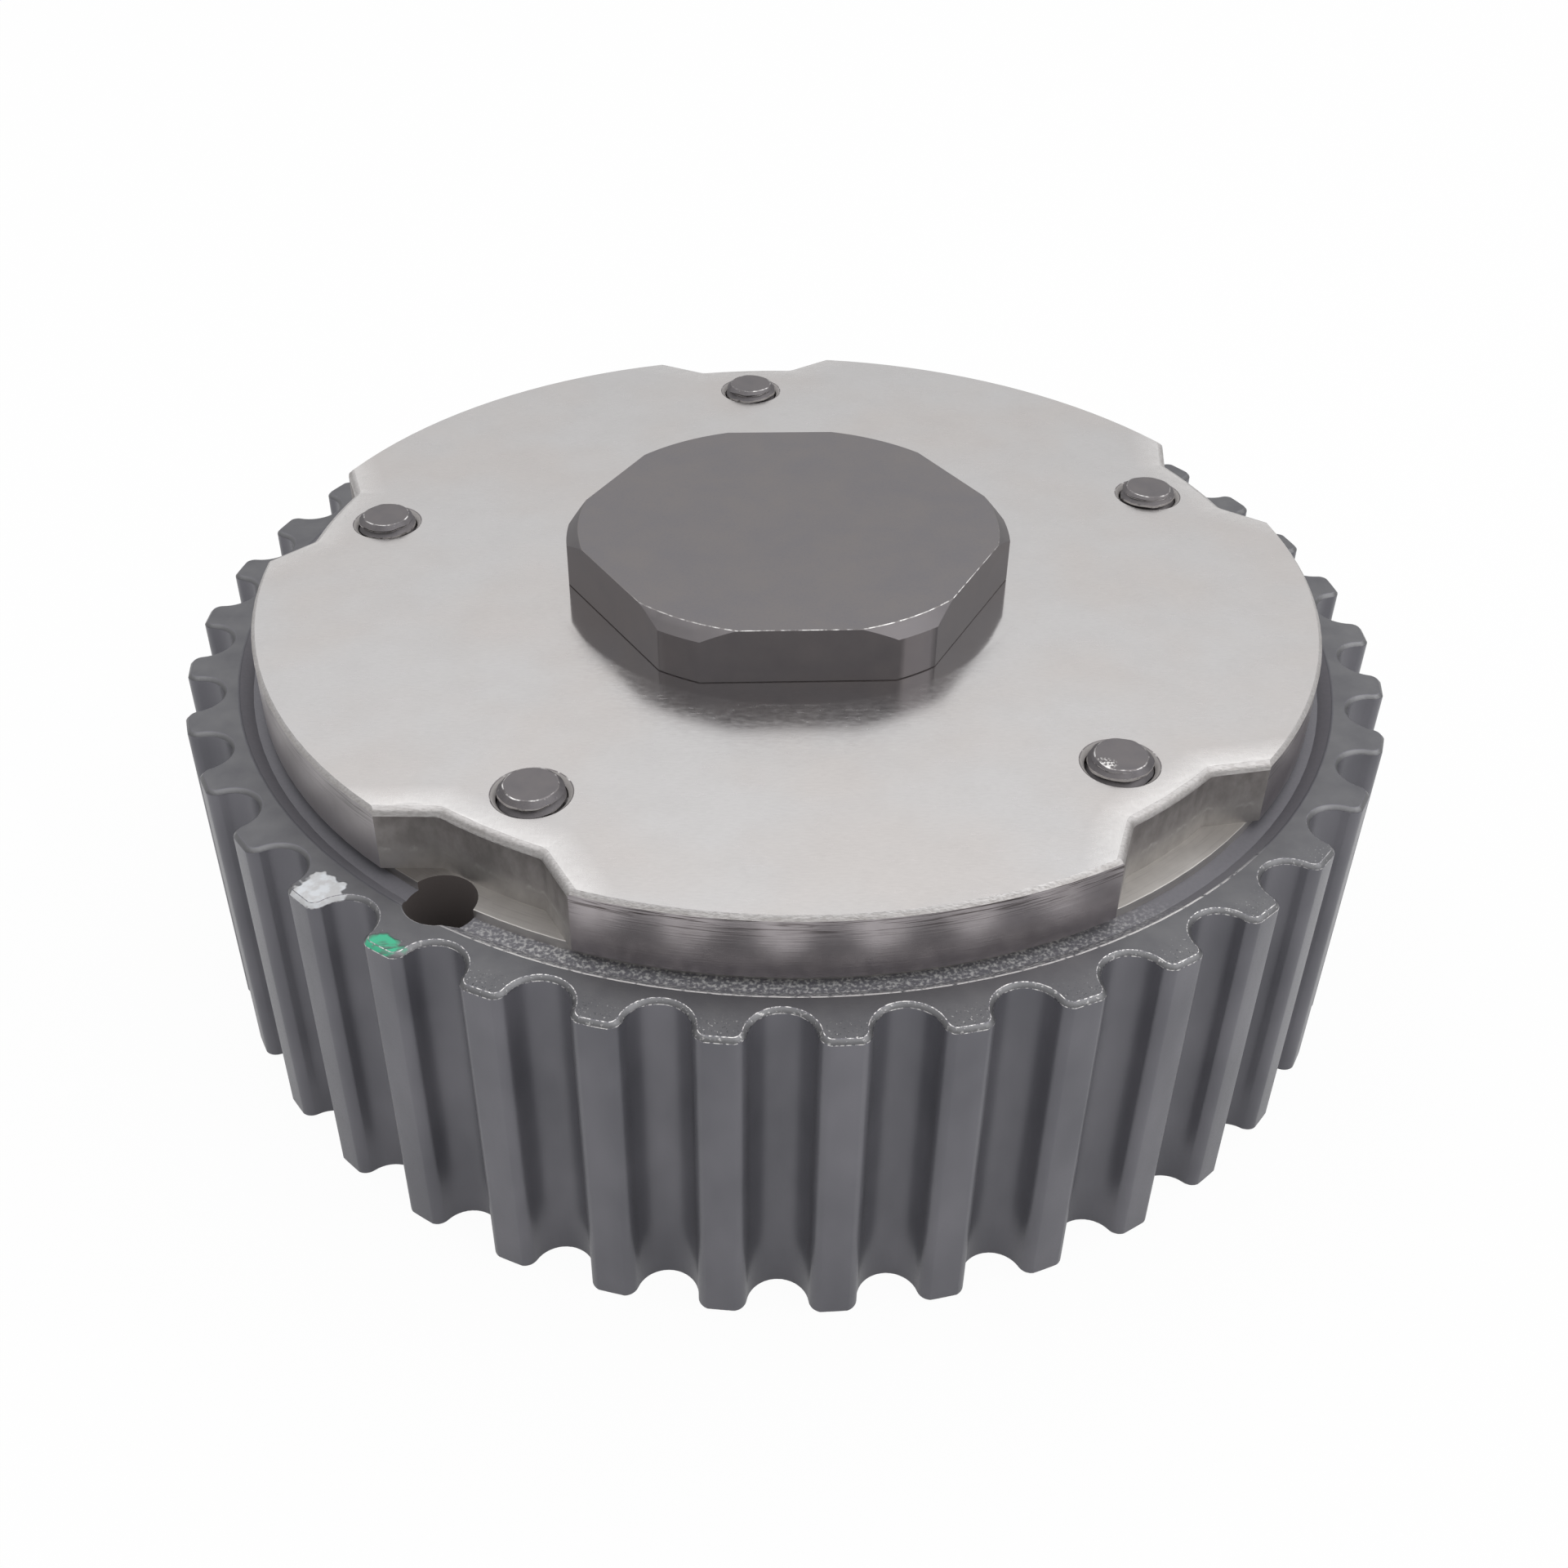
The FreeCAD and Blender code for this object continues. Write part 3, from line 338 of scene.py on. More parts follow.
def plate_finish(look):
    """Ground face of the front cover: nearly a mirror, brushed bright where it dips to a notch."""
    finish = Finish("ground_plate")
    patches = finish.noise(11.0, 2.0)
    soft = finish.noise(3.0, 3.0, shift=(7, 3, 1))
    grain = finish.noise(0.11, 2.0, stretch=(5, 1, 1))
    haze = finish.noise(0.3, 3.0, stretch=(2, 1, 1), shift=(6, 2, 0))
    haze = haze * finish.radius.above(PLUG_RING, 0.4)
    scratches = finish.noise(0.3, 2.0, stretch=(16, 1, 1), shift=(3, 5, 0)).above(0.68, 0.1)
    marks = finish.noise(0.14, 3.0, stretch=(1, 5, 1), shift=(1, 6, 2))
    dip = notch_distance(finish).below(1.2 + soft, 2.2)
    base = finish.blend(patches.above(0.52, 0.25) * 0.6, look.plate, look.plate_tint)
    mottle = grain.below(0.45, 0.3) * 0.1 + soft.above(0.55, 0.3) * 0.08
    base = finish.blend(mottle, base, look.notch)
    base = finish.blend(dip * (0.25 + marks * 0.7), base, look.burnish_and_glint)
    brushed = grain - scratches * 0.4
    rolled = dip * dip * -64.0 + dip * marks * 7.0
    finish.set(base_color=base, normal=finish.bump(brushed + rolled, 0.0012),
               roughness=0.08 + haze * 0.24 + soft * 0.04 + scratches * 0.05 + dip * 0.1)
    return finish.material


def rolled_finish(look):
    """Rolled edge of a notch: the plate's face, brushed bright across the roll."""
    finish = Finish("rolled_edge")
    marks = finish.noise(0.16, 3.0, stretch=(2.5, 1, 1))
    broad = finish.noise(1.6, 2.0)
    down = finish.z.below((COVER_TOP / MM) - 0.1, 0.25)
    base = finish.blend(marks.above(0.55, 0.3) * 0.4, look.plate, look.burnish_and_glint)
    base = finish.blend(marks.below(0.45, 0.2) * 0.3 + down * broad * 0.8 + 0.25, base, look.notch)
    finish.set(base_color=base, roughness=0.44 + broad * 0.1, normal=finish.bump(marks, 0.04))
    return finish.material


def rim_finish(look):
    """Turned rim of the front cover: scratched near its top, stained, and lighter at its left by a
    painted sheen.
    """
    finish = Finish("turned_rim")
    lines = finish.noise(0.12, 2.0, stretch=(40, 1, 1), along=finish.turned)
    clouds = finish.noise(2.6, 3.0)
    upper = finish.z.above((COVER_TOP / MM) - 1.4, 1.6)
    dark = lines.above(0.56, 0.1) * upper
    base = finish.blend(dark * 0.9 + clouds.above(0.55, 0.3) * 0.25, look.rim, look.rim_dark)
    # Painted sheen: towards the left the rim is blended to the bright metal colour, standing in
    # for the light on that side, and made rougher
    painted_sheen_left = finish.x.below(RIM_SHEEN_START, 14)
    base = finish.blend(painted_sheen_left * 0.35, base, look.burnish_and_glint)
    finish.set(base_color=base, roughness=0.28 + clouds * 0.1 + painted_sheen_left * 0.14,
               normal=finish.bump(lines, 0.012))
    return finish.material


def notch_finish(look):
    """Milled wall of a notch: mottled brown-grey, lighter at its foot under a ragged line."""
    finish = Finish("notch_wall")
    mottle = finish.noise(1.1, 3.0, stretch=(1, 1, 1.6))
    grain = finish.noise(0.2, 2.0)
    # Darker towards the top of the wall
    dark_patch = finish.z.above((COVER_TOP / MM) - 2.6 + mottle * 1.5, 2.5)
    over_foot = finish.z - mottle * 1.6 - ((FRONT / MM) + 0.7)
    base = finish.blend(mottle.above(0.5, 0.3) * 0.35 + dark_patch * 0.4, look.notch, look.rim_dark)
    base = finish.blend(over_foot.below(0, 1.2) * 0.3, base, look.land)
    ragged = over_foot.maths("ABSOLUTE").below(0.12, 0.3) * mottle.above(0.55, 0.2)
    base = finish.blend(ragged * grain * 0.8, base, look.burnish_and_glint)
    finish.set(base_color=base, roughness=0.58 + mottle * 0.1, normal=finish.bump(grain, 0.008))
    return finish.material


def worn_finish(look, name, base_tone, share, size=0.35, metallic=1.0, front=None):
    """A broken edge: the part's own colour with bright nicks, all along it or only in front."""
    finish = Finish(name, metallic=metallic)
    nicks = finish.noise(size, 3.0)
    fine = finish.noise(0.1, 1.0)
    bright = nicks.above(1.0 - share, 0.16)
    if front:
        bright = bright * frontal(finish, *front)
    base = finish.blend(bright, base_tone, look.burnish_and_glint)
    finish.set(base_color=base, roughness=0.38 - bright * 0.1,
               normal=finish.bump(nicks + fine * 0.5, 0.02))
    return finish.material


def painted(finish, look, base, metallic):
    """Lay the white and the green paint mark over a base colour, and return where the paint is."""
    edge = finish.noise(1.5, 2.0, shift=(4, 4, 4)) * 1.8
    lumps = finish.noise(0.7, 2.0)
    thin = finish.noise(0.4, 3.0, stretch=(4, 1, 1), shift=(2, 2, 2))
    white = (finish.spot(MARKS[0], 1.9, 2.0) + edge).below(1.85, 0.12)
    green = (finish.spot(MARKS[1], 1.9, 0.95) + edge).below(1.75, 0.25) * thin.above(0.36, 0.2)
    lumpy = finish.blend(lumps.below(0.5, 0.2) * 0.5, look.white_paint, look.notch)
    base = finish.blend(white, base, lumpy)
    base = finish.blend(green, base, look.green_paint)
    paint = white.maths("MAXIMUM", green)
    finish.set(base_color=base, metallic=paint * -metallic + metallic)
    return paint


def tooth_finish(look):
    """Sintered flanks and walls: dark blue-grey with soft clouds."""
    finish = Finish("sintered_flank", metallic=0.4)
    clouds = finish.noise(5.0, 2.0, stretch=(1, 1, 2))
    grain = finish.noise(0.14, 2.0)
    base = finish.blend(clouds.above(0.5, 0.6), look.tooth_dark, look.tooth_light)
    finish.set(base_color=base, roughness=0.27 + clouds * 0.08 + grain.above(0.6, 0.2) * 0.08,
               normal=finish.bump(grain, 0.005))
    return finish.material


def chamfer_finish(look):
    """Chamfer along the teeth: the sinter's own grey under a few nicks."""
    finish = Finish("tooth_chamfer")
    nicks = finish.noise(0.3, 3.0)
    base = finish.blend(nicks.above(0.66, 0.1) * frontal(finish) * 0.6, look.face, look.burnish_and_glint)
    paint = painted(finish, look, base, 0.9)
    finish.set(roughness=0.42 + paint * 0.1, normal=finish.bump(nicks, 0.02))
    return finish.material


def painted_face(look):
    """Front face of the teeth: fine specks and painted glints towards the tips, and two paint
    marks.
    """
    finish = Finish("sintered_face")
    clouds = finish.noise(3.0, 3.0)
    specks = finish.noise(0.16, 2.0)
    outward = finish.radius.above((OUTER / MM) - 1.4, 2.0) * frontal(finish)
    pits = specks.below(0.36, 0.08) * outward
    # Painted glints: bright specks towards the tips in front stand for light caught by the sinter
    painted_glints = finish.noise(0.17, 1.0, shift=(9, 2, 4)).above(0.71, 0.08) * outward * 0.7
    base = finish.blend(clouds.above(0.5, 0.6) * 0.6, look.face, look.tooth_dark)
    base = finish.blend(pits * 0.5, base, look.rubber)
    base = finish.blend(painted_glints, base, look.burnish_and_glint)
    paint = painted(finish, look, base, 1.0)
    finish.set(roughness=0.45 + clouds * 0.08 + paint * 0.1,
               normal=finish.bump(specks * 0.3 + paint * 3.0, 0.02))
    return finish.material


def blast_finish(look):
    """Lowered land round the cover's seat: as sintered, with its grain painted lighter and
    glinting in front as a highlight.
    """
    finish = Finish("sintered_land", metallic=0.3)
    grain = finish.noise(0.26, 2.5)
    clouds = finish.noise(2.5, 2.0)
    front_grain_and_painted_glints = frontal(finish, 36.5, 5, 0.0)
    # Painted highlight: the grain is lighter and has bright glints only in front, where light
    # catches it
    base = finish.blend(grain.above(0.5, 0.14) * (front_grain_and_painted_glints * 0.9 + 0.06), look.tooth_light, look.blast_and_highlight)
    base = finish.blend(grain.above(0.58, 0.1) * front_grain_and_painted_glints * 0.5, base, look.burnish_and_glint)
    finish.set(base_color=base, roughness=0.45 + clouds * 0.1,
               normal=finish.bump(grain * (front_grain_and_painted_glints + 0.15), 0.03))
    return finish.material


def land_finish(look):
    """Ground seat under the cover: warm and bright, with circular lines and one patch of painted
    brown shade.
    """
    finish = Finish("ground_seat")
    lines = finish.noise(0.13, 2.0, stretch=(30, 1, 1), along=finish.turned)
    clouds = finish.noise(2.0, 2.0)
    dull = clouds.above(0.5, 0.5) * 0.4 + lines.below(0.4, 0.2) * 0.25
    base = finish.blend(dull, look.land, look.notch)
    # Painted shade: the seat is darkened left of the timing hole, where the notch wall shades it
    dark_patch = (finish.spot(SEAT_SHADE, 6.0, 4.5) + clouds * 0.6).below(1.2, 0.4)
    base = finish.blend(dark_patch * 0.6, base, look.rim_dark)
    finish.set(base_color=base, roughness=0.42 + clouds * 0.1, normal=finish.bump(lines, 0.003))
    return finish.material


def hole_finish(name, base_tone, dark):
    """Walls of a hole: dull, so that they stay grey in their own shade."""
    finish = Finish(name, roughness=0.9, metallic=0.0)
    rings = finish.noise(0.3, 2.0, stretch=(1, 1, 0.3))
    finish.set(base_color=finish.blend(rings * 0.3, base_tone, dark),
               normal=finish.bump(rings, 0.004))
    return finish.material


def flat_finish(look):
    """Flats and turned corners of the closure plug: dark and satin, with soft clouds."""
    finish = Finish("plug_flats")
    clouds = finish.noise(3.2, 3.0)
    grain = finish.noise(0.15, 2.0, stretch=(1, 1, 3))
    base = finish.blend(clouds.below(0.5, 0.4) * 0.3, look.plug, look.tooth_dark)
    finish.set(base_color=base, roughness=0.39 + clouds * 0.1, normal=finish.bump(grain, 0.003))
    return finish.material


def steel_finish(look, name, base_tone, dark, roughness, grain_size=0.12, turned=True, marked=0.4):
    """Turned or forged steel: soft clouds, a fine grain and the odd mark."""
    finish = Finish(name)
    clouds = finish.noise(3.2, 3.0)
    grain = finish.noise(grain_size, 2.0, stretch=(12, 1, 1) if turned else (1, 1, 1),
                         along=finish.turned if turned else finish.place)
    marks = finish.noise(0.7, 3.0, shift=(2, 8, 5)).above(0.7, 0.05)
    shade = clouds.below(0.5, 0.4) * 0.4 + grain.below(0.42, 0.2) * 0.2
    base = finish.blend(shade, base_tone, dark)
    base = finish.blend(marks * marked, base, look.burnish_and_glint)
    finish.set(base_color=base, roughness=roughness + clouds * 0.12,
               normal=finish.bump(grain, 0.004))
    return finish.material


def end_finish(look):
    """Flat ends of the screws: dull, and the front right one scuffed at its edge."""
    finish = Finish("screw_end")
    clouds = finish.noise(1.2, 3.0)
    patch = (finish.spot(SCUFFS, 0.85, 0.6) + clouds * 0.6).below(1.2, 0.4)
    scuffs = finish.noise(0.2, 1.0, stretch=(0.7, 1.4, 1)).above(0.52, 0.1) * patch
    base = finish.blend(clouds.below(0.5, 0.4) * 0.3, look.plug, look.tooth_dark)
    base = finish.blend(scuffs, base, look.burnish_and_glint)
    finish.set(base_color=base, roughness=0.42 + clouds * 0.1 - scuffs * 0.1,
               normal=finish.bump(scuffs, 0.03))
    return finish.material


def soft_finish(name, base_tone, roughness, grain_size):
    """Rubber or plastic: a matt skin with a faint grain."""
    finish = Finish(name, metallic=0.0)
    grain = finish.noise(grain_size, 3.0)
    clouds = finish.noise(2.0, 2.0)
    lighter = tuple(min(1.0, share * 1.5 + 0.01) for share in base_tone)
    base = finish.blend(grain.above(0.55, 0.3) * 0.4 + clouds * 0.3, base_tone, lighter)
    finish.set(base_color=base, roughness=roughness + clouds * 0.12,
               normal=finish.bump(grain, 0.01))
    return finish.material


def only(piece):
    """Make an object the active one and the only one selected."""
    bpy.ops.object.select_all(action="DESELECT")
    piece.select_set(True)
    bpy.context.view_layer.objects.active = piece


def edit(piece, mode="VERT"):
    """Open an object for editing by its vertices or edges."""
    only(piece)
    bpy.ops.object.mode_set(mode="EDIT")
    bpy.ops.mesh.select_mode(type=mode)


def leave_edit():
    bpy.ops.object.mode_set(mode="OBJECT")


def apply(piece, kind, **settings):
    """Add a modifier, set it and apply it."""
    only(piece)
    bpy.ops.object.modifier_add(type=kind)
    modifier = piece.modifiers[-1]
    for name, value in settings.items():
        setattr(modifier, name, value)
    bpy.ops.object.modifier_apply(modifier=modifier.name)


def copied(node, name):
    """A copy of a solid's faces, joined at their edges and ready to be worked on."""
    piece = bpy.data.objects.new(name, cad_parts[node].data.copy())
    bpy.context.scene.collection.objects.link(piece)
    piece.data.materials.clear()
    only(piece)
    bpy.ops.mesh.customdata_custom_splitnormals_clear()
    edit(piece)
    bpy.ops.mesh.select_all(action="SELECT")
    bpy.ops.mesh.remove_doubles(threshold=NEAR / 20)
    bpy.ops.mesh.dissolve_limited(angle_limit=math.radians(0.5))
    leave_edit()
    return piece


def reach(point):
    """How far a point lies from the phaser's axis."""
    return math.hypot(point.x, point.y)


def corner(edge):
    """The angle between an edge's two faces in degrees, positive on an outside corner."""
    if len(edge.link_faces) != 2:
        return 0.0
    return math.degrees(edge.calc_face_angle_signed(0.0))


def level(edge, height):
    """Whether an edge lies at a height."""
    return all(abs(vertex.co.z - height) < NEAR for vertex in edge.verts)


def between(edge, low, high=math.inf):
    """Whether an edge lies between two radii from the phaser's axis."""
    return all(low < reach(vertex.co) < high for vertex in edge.verts)


def square_at(height):
    """A test for the square corners at a height."""
    return lambda edge: corner(edge) > SQUARE and level(edge, height)


def bevel(piece, wanted, width, segments=1, material=-1):
    """Bevel the edges that wanted picks, and give the new faces a finish by its number."""
    edit(piece, "EDGE")
    bpy.ops.mesh.select_all(action="DESELECT")
    mesh = bmesh.from_edit_mesh(piece.data)
    for edge in mesh.edges:
        edge.select_set(wanted(edge))
    bmesh.update_edit_mesh(piece.data)
    bpy.ops.mesh.bevel(offset=width, segments=segments, affect="EDGES", material=material)
    leave_edit()


def sort_faces(piece, finishes, zone):
    """Give the piece its finishes, and each face the one that zone(face, radii) returns."""
    for finish in finishes:
        piece.data.materials.append(finish)
    corners = piece.data.vertices
    for face in piece.data.polygons:
        radii = [reach(corners[index].co) for index in face.vertices]
        face.material_index = zone(face, min(radii), max(radii))


def smooth(piece, angle=28):
    """Shade curved faces smooth, keep flat ones flat and let corners stay sharp."""
    only(piece)
    bpy.ops.object.shade_smooth_by_angle(angle=math.radians(angle))
    apply(piece, "WEIGHTED_NORMAL", keep_sharp=True, weight=80)


def settle(piece, body, slot, *nodes):
    """Put a finished piece on its body, in place of the nodes that it stands for."""
    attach(piece, body)
    if nodes:
        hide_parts(*nodes)


def refinish(finish, *nodes):
    """Give CAD nodes whose shape is right a finish of their own."""
    for name in nodes:
        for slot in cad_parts[name].material_slots:
            slot.material = finish


class PHASER_OT_pulley(bpy.types.Operator):
    """Toothed pulley: chamfered teeth, grainy land, ground seat and paint marks"""
    bl_idname = "phaser.pulley"
    bl_label = "Pulley"

    def execute(self, context):
        sizes, look = context.scene.phaser_sizes, context.scene.phaser_colours
        piece = copied("pulley", "toothed_pulley")
        teeth, face, land, seat, bore, hole, chamfer, worn, slope_edge = range(9)
        finishes = (
            tooth_finish(look), painted_face(look), blast_finish(look), land_finish(look),
            steel_finish(look, "sintered_bore", look.tooth_light, look.tooth_dark, 0.4,
                         turned=False),
            hole_finish("drilled_hole", look.hole, look.rim_dark), chamfer_finish(look),
            worn_finish(look, "tooth_edge", look.tooth_light, 0.48, 0.25, front=(33, 10)),
            # On the slope's rounded edge the bright nicks, only in front, are a worn line and a
            # painted glint
            worn_finish(look, "slope_edge", look.tooth_dark, 0.6, 0.5, metallic=0.2,
                        front=(35, 6)))

        def zone(polygon, inner, outer):
            up, below = polygon.normal.z, FRONT - polygon.center.z
            if up > NEARLY_LEVEL and below < NEAR:
                return face if inner > FACE_START else seat
            if up > NEARLY_LEVEL and inner > SEAT_EDGE - 0.4 * MM and below < 2 * MM:
                return land
            if SEAT_EDGE - 0.1 * MM < inner and outer < SEAT_EDGE + 0.1 * MM and below < MM:
                return seat
            if HOLE_SIDE < inner and outer < ROOTS and below < HOLE_DEPTH:
                return land if SLOPED < up < NEARLY_LEVEL else hole
            return bore if inner < ROOTS - 0.1 * MM else teeth

        sort_faces(piece, finishes, zone)

        def outline(edge):
            ends = level(edge, FRONT) or level(edge, 0.0)
            return ends and between(edge, ROOTS + 0.1 * MM) and corner(edge) > SQUARE

        def border(edge):
            sides = [side.material_index == chamfer for side in edge.link_faces]
            return sides.count(True) == 1 and corner(edge) > SHALLOW

        def face_edge(edge):
            ring = between(edge, FACE_START, ROOTS - 0.2 * MM)
            return ring and level(edge, FRONT) and corner(edge) > SHALLOW

        def seat_edge(edge):
            ring = between(edge, SEAT_EDGE - 0.1 * MM, SEAT_EDGE + 0.2 * MM)
            return ring and level(edge, FRONT) and corner(edge) > SQUARE

        bevel(piece, outline, sizes.tooth_chamfer, material=chamfer)
        bevel(piece, border, sizes.chamfer_burr, material=worn)
        bevel(piece, face_edge, sizes.face_round, segments=2, material=slope_edge)
        bevel(piece, seat_edge, sizes.broken_edge, segments=2, material=seat)
        smooth(piece, angle=24)
        settle(piece, "housing", "sintered_steel", "pulley")
        return {"FINISHED"}


class PHASER_OT_front_cover(bpy.types.Operator):
    """Front cover: ground face, rolled notch edges, turned rim and countersinks"""
    bl_idname = "phaser.front_cover"
    bl_label = "Front cover"

    def execute(self, context):
        sizes, look = context.scene.phaser_sizes, context.scene.phaser_colours
        piece = copied("front_cover", "scalloped_cover")
        plate, rolled, rim, wall, inside, sink, worn, lip = range(8)
        finishes = (
            plate_finish(look), rolled_finish(look), rim_finish(look), notch_finish(look),
            steel_finish(look, "cover_bores", look.notch, look.tooth_dark, 0.35),
            hole_finish("countersink", look.notch, look.plug),
            worn_finish(look, "cover_edge", look.rim, 0.5),
            worn_finish(look, "sink_edge", look.plug, 0.36, 0.8))

        def zone(polygon, inner, outer):
            up, below = polygon.normal.z, COVER_TOP - polygon.center.z
            if up > LEVEL and inner > PLUG_HOLE and below < 0.1 * MM:
                return plate
            if inner > ROLL_START and up > UPRIGHT:
                return rolled
            if inner > RIM_START:
                return rim
            if inner > SCREW_RING[0] and SLOPED < up < NEARLY_LEVEL:
                return sink
            return wall if inner > WALL_START and abs(up) < UPRIGHT else inside

        sort_faces(piece, finishes, zone)

        def rim_edge(edge):
            return between(edge, RIM_START) and corner(edge) > SQUARE and level(edge, COVER_TOP)

        def sink_edge(edge):
            return between(edge, *SCREW_RING) and corner(edge) > SHALLOW and level(edge, COVER_TOP)

        bevel(piece, rim_edge, sizes.cover_edge, segments=2, material=worn)
        bevel(piece, sink_edge, sizes.plug_edge, material=lip)
        smooth(piece)
        settle(piece, "housing", "ground_steel", "front_cover")
        return {"FINISHED"}


class PHASER_OT_closure_plug(bpy.types.Operator):
    """Closure plug: hexagon with turned corners and nicked edges"""
    bl_idname = "phaser.closure_plug"
    bl_label = "Closure plug"

    def execute(self, context):
        sizes, look = context.scene.phaser_sizes, context.scene.phaser_colours
        piece = copied("closure_plug", "hexagon_plug")
        flats, top, edges, undercut = range(4)
        finishes = (
            flat_finish(look),
            steel_finish(look, "plug_top", look.plug_top, look.tooth_light, 0.4, 0.2, turned=False,
                         marked=0.0),
            worn_finish(look, "plug_edge", look.plug_top, 0.5, 0.6, front=(10, 8, 0.35)),
            hole_finish("plug_undercut", look.plug, look.rim_dark))

        def zone(polygon, inner, outer):
            return top if polygon.normal.z > NEARLY_LEVEL else flats

        def top_edge(edge):
            return corner(edge) > SHALLOW and level(edge, PLUG_TOP)

        def foot(edge):
            return between(edge, PLUG_FOOT) and corner(edge) > SQUARE and level(edge, COVER_TOP)

        sort_faces(piece, finishes, zone)
        bevel(piece, top_edge, sizes.plug_edge, material=edges)
        bevel(piece, foot, sizes.plug_foot, material=undercut)
        smooth(piece)
        settle(piece, "housing", "dark_steel", "closure_plug")
        return {"FINISHED"}


# A thread's profile as shares of its pitch: one flank, the crest, the other flank and the root
FLANK, CREST, ROOT = 0.42, 0.1, 0.06

# Length of a screw's threaded end
THREAD_LENGTH = 1.6 * MM

# Distance from one worn place on a thread to the next, and the seed that sets where they lie
WEAR_SPREAD, WEAR_SEED = 0.9 * MM, 7

# How far the thread is made past its end, in turns, and what a first cut leaves of it past its
# end and its foot
TURNS_OVER, OVER, UNDER = 0.9, 0.3 * MM, 0.2 * MM

# Sides of the turned forms that make the thread and its lead-in
THREAD_SIDES, LEAD_SIDES = 48, 64

# Z of a face's normal on a screw's flat end, and on the lip round it, at least
END_UP, LIP_UP = 0.97, 0.8


def thread_helix(sizes, outside, high):
    """A thread's skin round the Z axis, from some turns under a height to just over it."""
    rise, depth = sizes.thread_pitch, sizes.thread_depth
    bpy.ops.object.select_all(action="DESELECT")
    bpy.ops.mesh.primitive_plane_add(size=2 * NEAR)
    piece = bpy.context.active_object
    edit(piece)
    bpy.ops.mesh.select_all(action="SELECT")
    bpy.ops.mesh.merge(type="CENTER")
    foot = high - rise * (sizes.thread_turns - TURNS_OVER)
    bpy.ops.transform.translate(value=(outside - depth, 0, foot))
    for out, up in ((depth, FLANK), (0, CREST), (-depth, FLANK), (0, ROOT)):
        bpy.ops.mesh.extrude_region_move(TRANSFORM_OT_translate={"value": (out, 0, rise * up)})
    leave_edit()
    apply(piece, "SCREW", axis="Z", screw_offset=rise, iterations=sizes.thread_turns,
          steps=THREAD_SIDES, render_steps=THREAD_SIDES, use_merge_vertices=True,
          merge_threshold=NEAR / 10)
    return piece


def lead_in(sizes, outside, low, high):
    """The slightly tapered body, chamfered at its end, that a thread is cut down to."""
    bpy.ops.mesh.primitive_cone_add(
        vertices=LEAD_SIDES, radius1=outside + 0.5 * NEAR, radius2=outside - sizes.thread_taper,
        depth=high - low, location=(0, 0, (high + low) / 2))
    bpy.ops.object.transform_apply(location=True)
    body = bpy.context.active_object
    for width in (sizes.thread_start, sizes.plug_edge):
        bevel(body, lambda edge: level(edge, high), width)
    return body


def trim(piece, height, **side):
    """Cut a piece level at a height, close the cut and clear one side."""
    edit(piece)
    bpy.ops.mesh.select_all(action="SELECT")
    bpy.ops.mesh.bisect(plane_co=(0, 0, height), plane_no=(0, 0, 1), use_fill=True, **side)
    leave_edit()


def threaded_end(sizes, outside, low, high):
    """One screw's threaded end, from low to high round the origin's axis."""
    piece = thread_helix(sizes, outside, high)
    trim(piece, high + OVER, clear_outer=True)
    trim(piece, low - UNDER, clear_inner=True)
    edit(piece)
    bpy.ops.mesh.select_all(action="SELECT")
    bpy.ops.mesh.remove_doubles(threshold=NEAR / 10)
    bpy.ops.mesh.normals_make_consistent(inside=False)
    leave_edit()
    body = lead_in(sizes, outside, low, high)
    apply(piece, "BOOLEAN", operation="INTERSECT", solver="EXACT", object=body)
    bpy.data.objects.remove(body)
    edit(piece)
    bpy.ops.mesh.select_all(action="SELECT")
    bpy.ops.mesh.remove_doubles(threshold=NEAR / 4)
    bpy.ops.mesh.dissolve_degenerate(threshold=NEAR / 4)
    # The cut leaves the thread open at its foot: one face closes it, fanned from its middle
    bpy.ops.mesh.select_all(action="DESELECT")
    bpy.ops.mesh.select_non_manifold()
    bpy.ops.mesh.edge_face_add()
    bpy.ops.mesh.poke()
    leave_edit()
    return piece


def wear(piece, depth):
    """Shift a thread's vertices a little, so that its turns look worn, and keep its end level."""
    noise.seed_set(WEAR_SEED)
    for vertex in piece.data.vertices:
        shift = noise.noise_vector(vertex.co / WEAR_SPREAD) * depth
        if vertex.co.z > SCREW_TOP - NEAR:
            shift.z = 0.0
        vertex.co += shift


def first_screw_end(heads):
    """The middle and the radius of the flat end of the screw in the first sector."""
    end = [vertex.co for vertex in heads.data.vertices if vertex.co.z > SCREW_TOP - NEAR
           and 0 < math.atan2(vertex.co.y, vertex.co.x) < math.radians(STEP)]
    middle = sum(end, Vector()) / len(end)
    return middle, max((point - middle).length for point in end)


